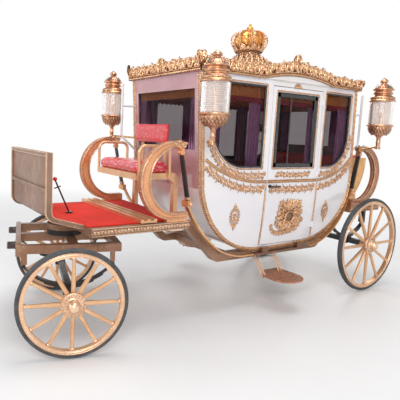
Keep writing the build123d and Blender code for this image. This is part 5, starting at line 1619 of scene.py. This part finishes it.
# trim of one wheel about its own axis, nose to +Y
def wheelTrim(radius):
    gilt, bright = Pile(), Pile()
    rim = radius - 30.3
    for y0, out in ((20, 1), (-20, -1)):
        for r, w, h in ((rim - 3, 5, 3.2), (rim - 29, 5, 3.2), (rim - 16, 9, 1.6)):
            a = fullTurn(120)
            b = np.linspace(0, pi, 5)
            rr = r + (w / 2) * np.cos(b)[None, :]
            yy = y0 + out * (h * np.sin(b)[None, :] - 0.2) + 0 * a[:, None]
            bright.grid(np.stack([rr * np.cos(a[:, None]), yy, rr * np.sin(a[:, None])], -1), wrapA=True)
    turned(gilt, hubSteps, axis=1, sides=36)
    r = wheelForm["petals"]
    ring = lambda p: np.stack([(r + p[..., 1]) * np.cos(p[..., 0] / r), 37 + p[..., 2],
                               (r + p[..., 1]) * np.sin(p[..., 0] / r)], -1)
    at = np.arange(18) * 2 * pi * r / 18
    scatter(gilt, budForm, pairs(at, -10.0), pi / 2, (32, 17), ring, 9)
    scatter(bright, beadForm, pairs(at + pi * r / 18, 19.0), at, (5, 5), ring, 6)
    at = np.arange(36) * 2 * pi * r / 36
    scatter(bright, beadForm, pairs(at, 25.5), at, (3.2, 3.6), ring, 4)
    for t in fullTurn(wheelForm["spokes"]):
        for r0, r1, (a, b) in ((rim - 46, rim - 32, (16, 15)), (58, 74, (22, 19))):
            box = chain([(-a, 5 - b), (5 - a, -b), (a - 5, -b), (a, 5 - b), (a, b - 5), (a - 5, b),
                         (5 - a, b), (-a, b - 5), (-a, 5 - b)], 60)[:-1]
            rows = []
            for r, grow in ((r0, 0.8), (r0 + 2, 1.0), (r1 - 2, 1.0), (r1, 0.8)):
                u, y = box[:, 0] * grow, box[:, 1] * grow
                rows.append(np.stack([r * sin(t) + u * cos(t), y, r * cos(t) - u * sin(t)], -1))
            bright.grid(np.array(rows), wrapB=True)
    return gilt, bright


for end in ("front", "rear"):
    radius, track = wheelForm[end]
    gilt, bright = wheelTrim(radius)
    for side, word in sides:
        def hubPlace(p):
            q = np.array(p, float)
            q[..., 1] = side * (track + q[..., 1])
            q[..., 2] += radius
            return steered(q) if end == "front" else world(q)
        wheel = end + "_" + word
        gilt.build(wheel + "HubTrim", mats["pale"], wheel + "_wheel_set", "rose_gold", hubPlace)
        bright.build(wheel + "RimTrim", mats["roseBright"], wheel + "_wheel_set", "rose_gold", hubPlace)
print("stage: wheels")

# Stage, camera and light

floor = bpy.data.meshes.new("floor")
floor.from_pydata([(-14, -14, 0), (14, -14, 0), (14, 14, 0), (-14, 14, 0)], [], [(0, 1, 2, 3)])
floorObj = linked("floor", floor)
ground = finish("paleFloor", (0.88, 0.885, 0.89), (0.86, 0.865, 0.875), 0.0, (0.35, 0.45), 1.0, 40.0,
                0.02)
tree = ground.node_tree
away = tree.nodes.new("ShaderNodeVectorMath")
away.operation = "LENGTH"
tree.links.new(tree.nodes.new("ShaderNodeTexCoord").outputs["Object"], away.inputs[0])
glow = tree.nodes.new("ShaderNodeEmission")
fade = tree.nodes.new("ShaderNodeMixShader")
tree.links.new(spread(tree, away.outputs["Value"], 0.0, 1.0, 3.4, 8.0), fade.inputs[0])
tree.links.new(tree.nodes["Principled BSDF"].outputs[0], fade.inputs[1])
tree.links.new(glow.outputs[0], fade.inputs[2])
tree.links.new(fade.outputs[0], tree.nodes["Material Output"].inputs["Surface"])
floorObj.data.materials.append(ground)
floorObj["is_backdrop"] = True

view = {"yaw": radians(-121.266), "pitch": radians(-6.813), "roll": radians(-2.278), "focal": 441.367,
        "axisX": 138.126, "axisY": 184.507, "place": (4.637, 3.467, 1.637)}
cy, sy = cos(view["yaw"]), sin(view["yaw"])
cp, sp = cos(view["pitch"]), sin(view["pitch"])
forward = np.array([cy * cp, sy * cp, sp])
right = np.cross(forward, (0, 0, 1))
right /= np.linalg.norm(right)
down = np.cross(forward, right)
cr, sr = cos(view["roll"]), sin(view["roll"])
right, down = cr * right + sr * down, -sr * right + cr * down
camera = bpy.data.cameras.new("camera")
camera.sensor_width = 36
camera.lens = 36 * view["focal"] / 400
camera.shift_x = (200 - view["axisX"]) / 400
camera.shift_y = -(200 - view["axisY"]) / 400
camera.clip_end = 100
cameraObj = linked("camera", camera)
spot = np.array(view["place"]) + (rearAxleX / 1000, 0, 0)
matrix = np.eye(4)
matrix[:3, 0], matrix[:3, 1], matrix[:3, 2], matrix[:3, 3] = right, -down, -forward, spot
cameraObj.matrix_world = Matrix(matrix.tolist())
bpy.context.scene.camera = cameraObj

# kind of light: place, aim, size, power, colour
lights = {
    "key": ((4.5, 6.5, 5.2), (0, 0, 1.2), 4.0, 390, (1.0, 0.98, 0.95)),
    "fill": ((7.5, -3.0, 3.2), (0.5, 0, 1.2), 3.0, 130, (0.95, 0.96, 1.0)),
    "top": ((0.0, 0.5, 7.5), (0, 0, 0), 4.0, 220, (1.0, 1.0, 1.0)),
    "back": ((-6.0, -4.5, 4.5), (0, 0, 1.2), 3.0, 140, (1.0, 0.99, 0.97)),
}
for name, (spot, aim, size, power, color) in lights.items():
    lamp = bpy.data.lights.new(name, "AREA")
    lamp.energy, lamp.size, lamp.color = power, size, color
    lampObj = linked(name, lamp)
    lampObj.location = spot
    lampObj.rotation_euler = (Vector(aim) - Vector(spot)).to_track_quat("-Z", "Y").to_euler()

sky = bpy.data.worlds.new("sky")
bpy.context.scene.world = sky
sky.use_nodes = True
tree = sky.node_tree
back = tree.nodes["Background"]
path = tree.nodes.new("ShaderNodeLightPath")
white = tree.nodes.new("ShaderNodeBackground")
where = tree.nodes.new("ShaderNodeTexCoord").outputs["Generated"]
split = tree.nodes.new("ShaderNodeSeparateXYZ")
tree.links.new(where, split.inputs[0])
shade = ramp(tree, split.outputs["Z"],
             [(0.0, (0.35, 0.37, 0.42)), (0.12, (0.75, 0.76, 0.78)), (0.45, (0.5, 0.52, 0.55)),
              (1.0, (0.95, 0.95, 0.95))])
tree.links.new(shade, back.inputs["Color"])
back.inputs["Strength"].default_value = 0.5
seen = ramp(tree, split.outputs["Z"],
            [(0.0, (1, 1, 1)), (0.42, (1, 1, 1)), (0.62, (0.3, 0.29, 0.3)), (1.0, (0.55, 0.54, 0.55))])
tree.links.new(seen, white.inputs["Color"])
direct = maths(tree, "MAXIMUM", path.outputs["Is Camera Ray"],
               maths(tree, "MAXIMUM", path.outputs["Is Glossy Ray"], path.outputs["Is Transmission Ray"]))
mix = tree.nodes.new("ShaderNodeMixShader")
tree.links.new(direct, mix.inputs[0])
tree.links.new(back.outputs[0], mix.inputs[1])
tree.links.new(white.outputs[0], mix.inputs[2])
tree.links.new(mix.outputs[0], tree.nodes["World Output"].inputs["Surface"])
bpy.context.scene.view_settings.view_transform = "Standard"
print("stage: camera and light")

plain = lambda box: [[float(v) for v in corner] for corner in box]
{"cad": plain(cadBox), "visual": plain(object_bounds())}
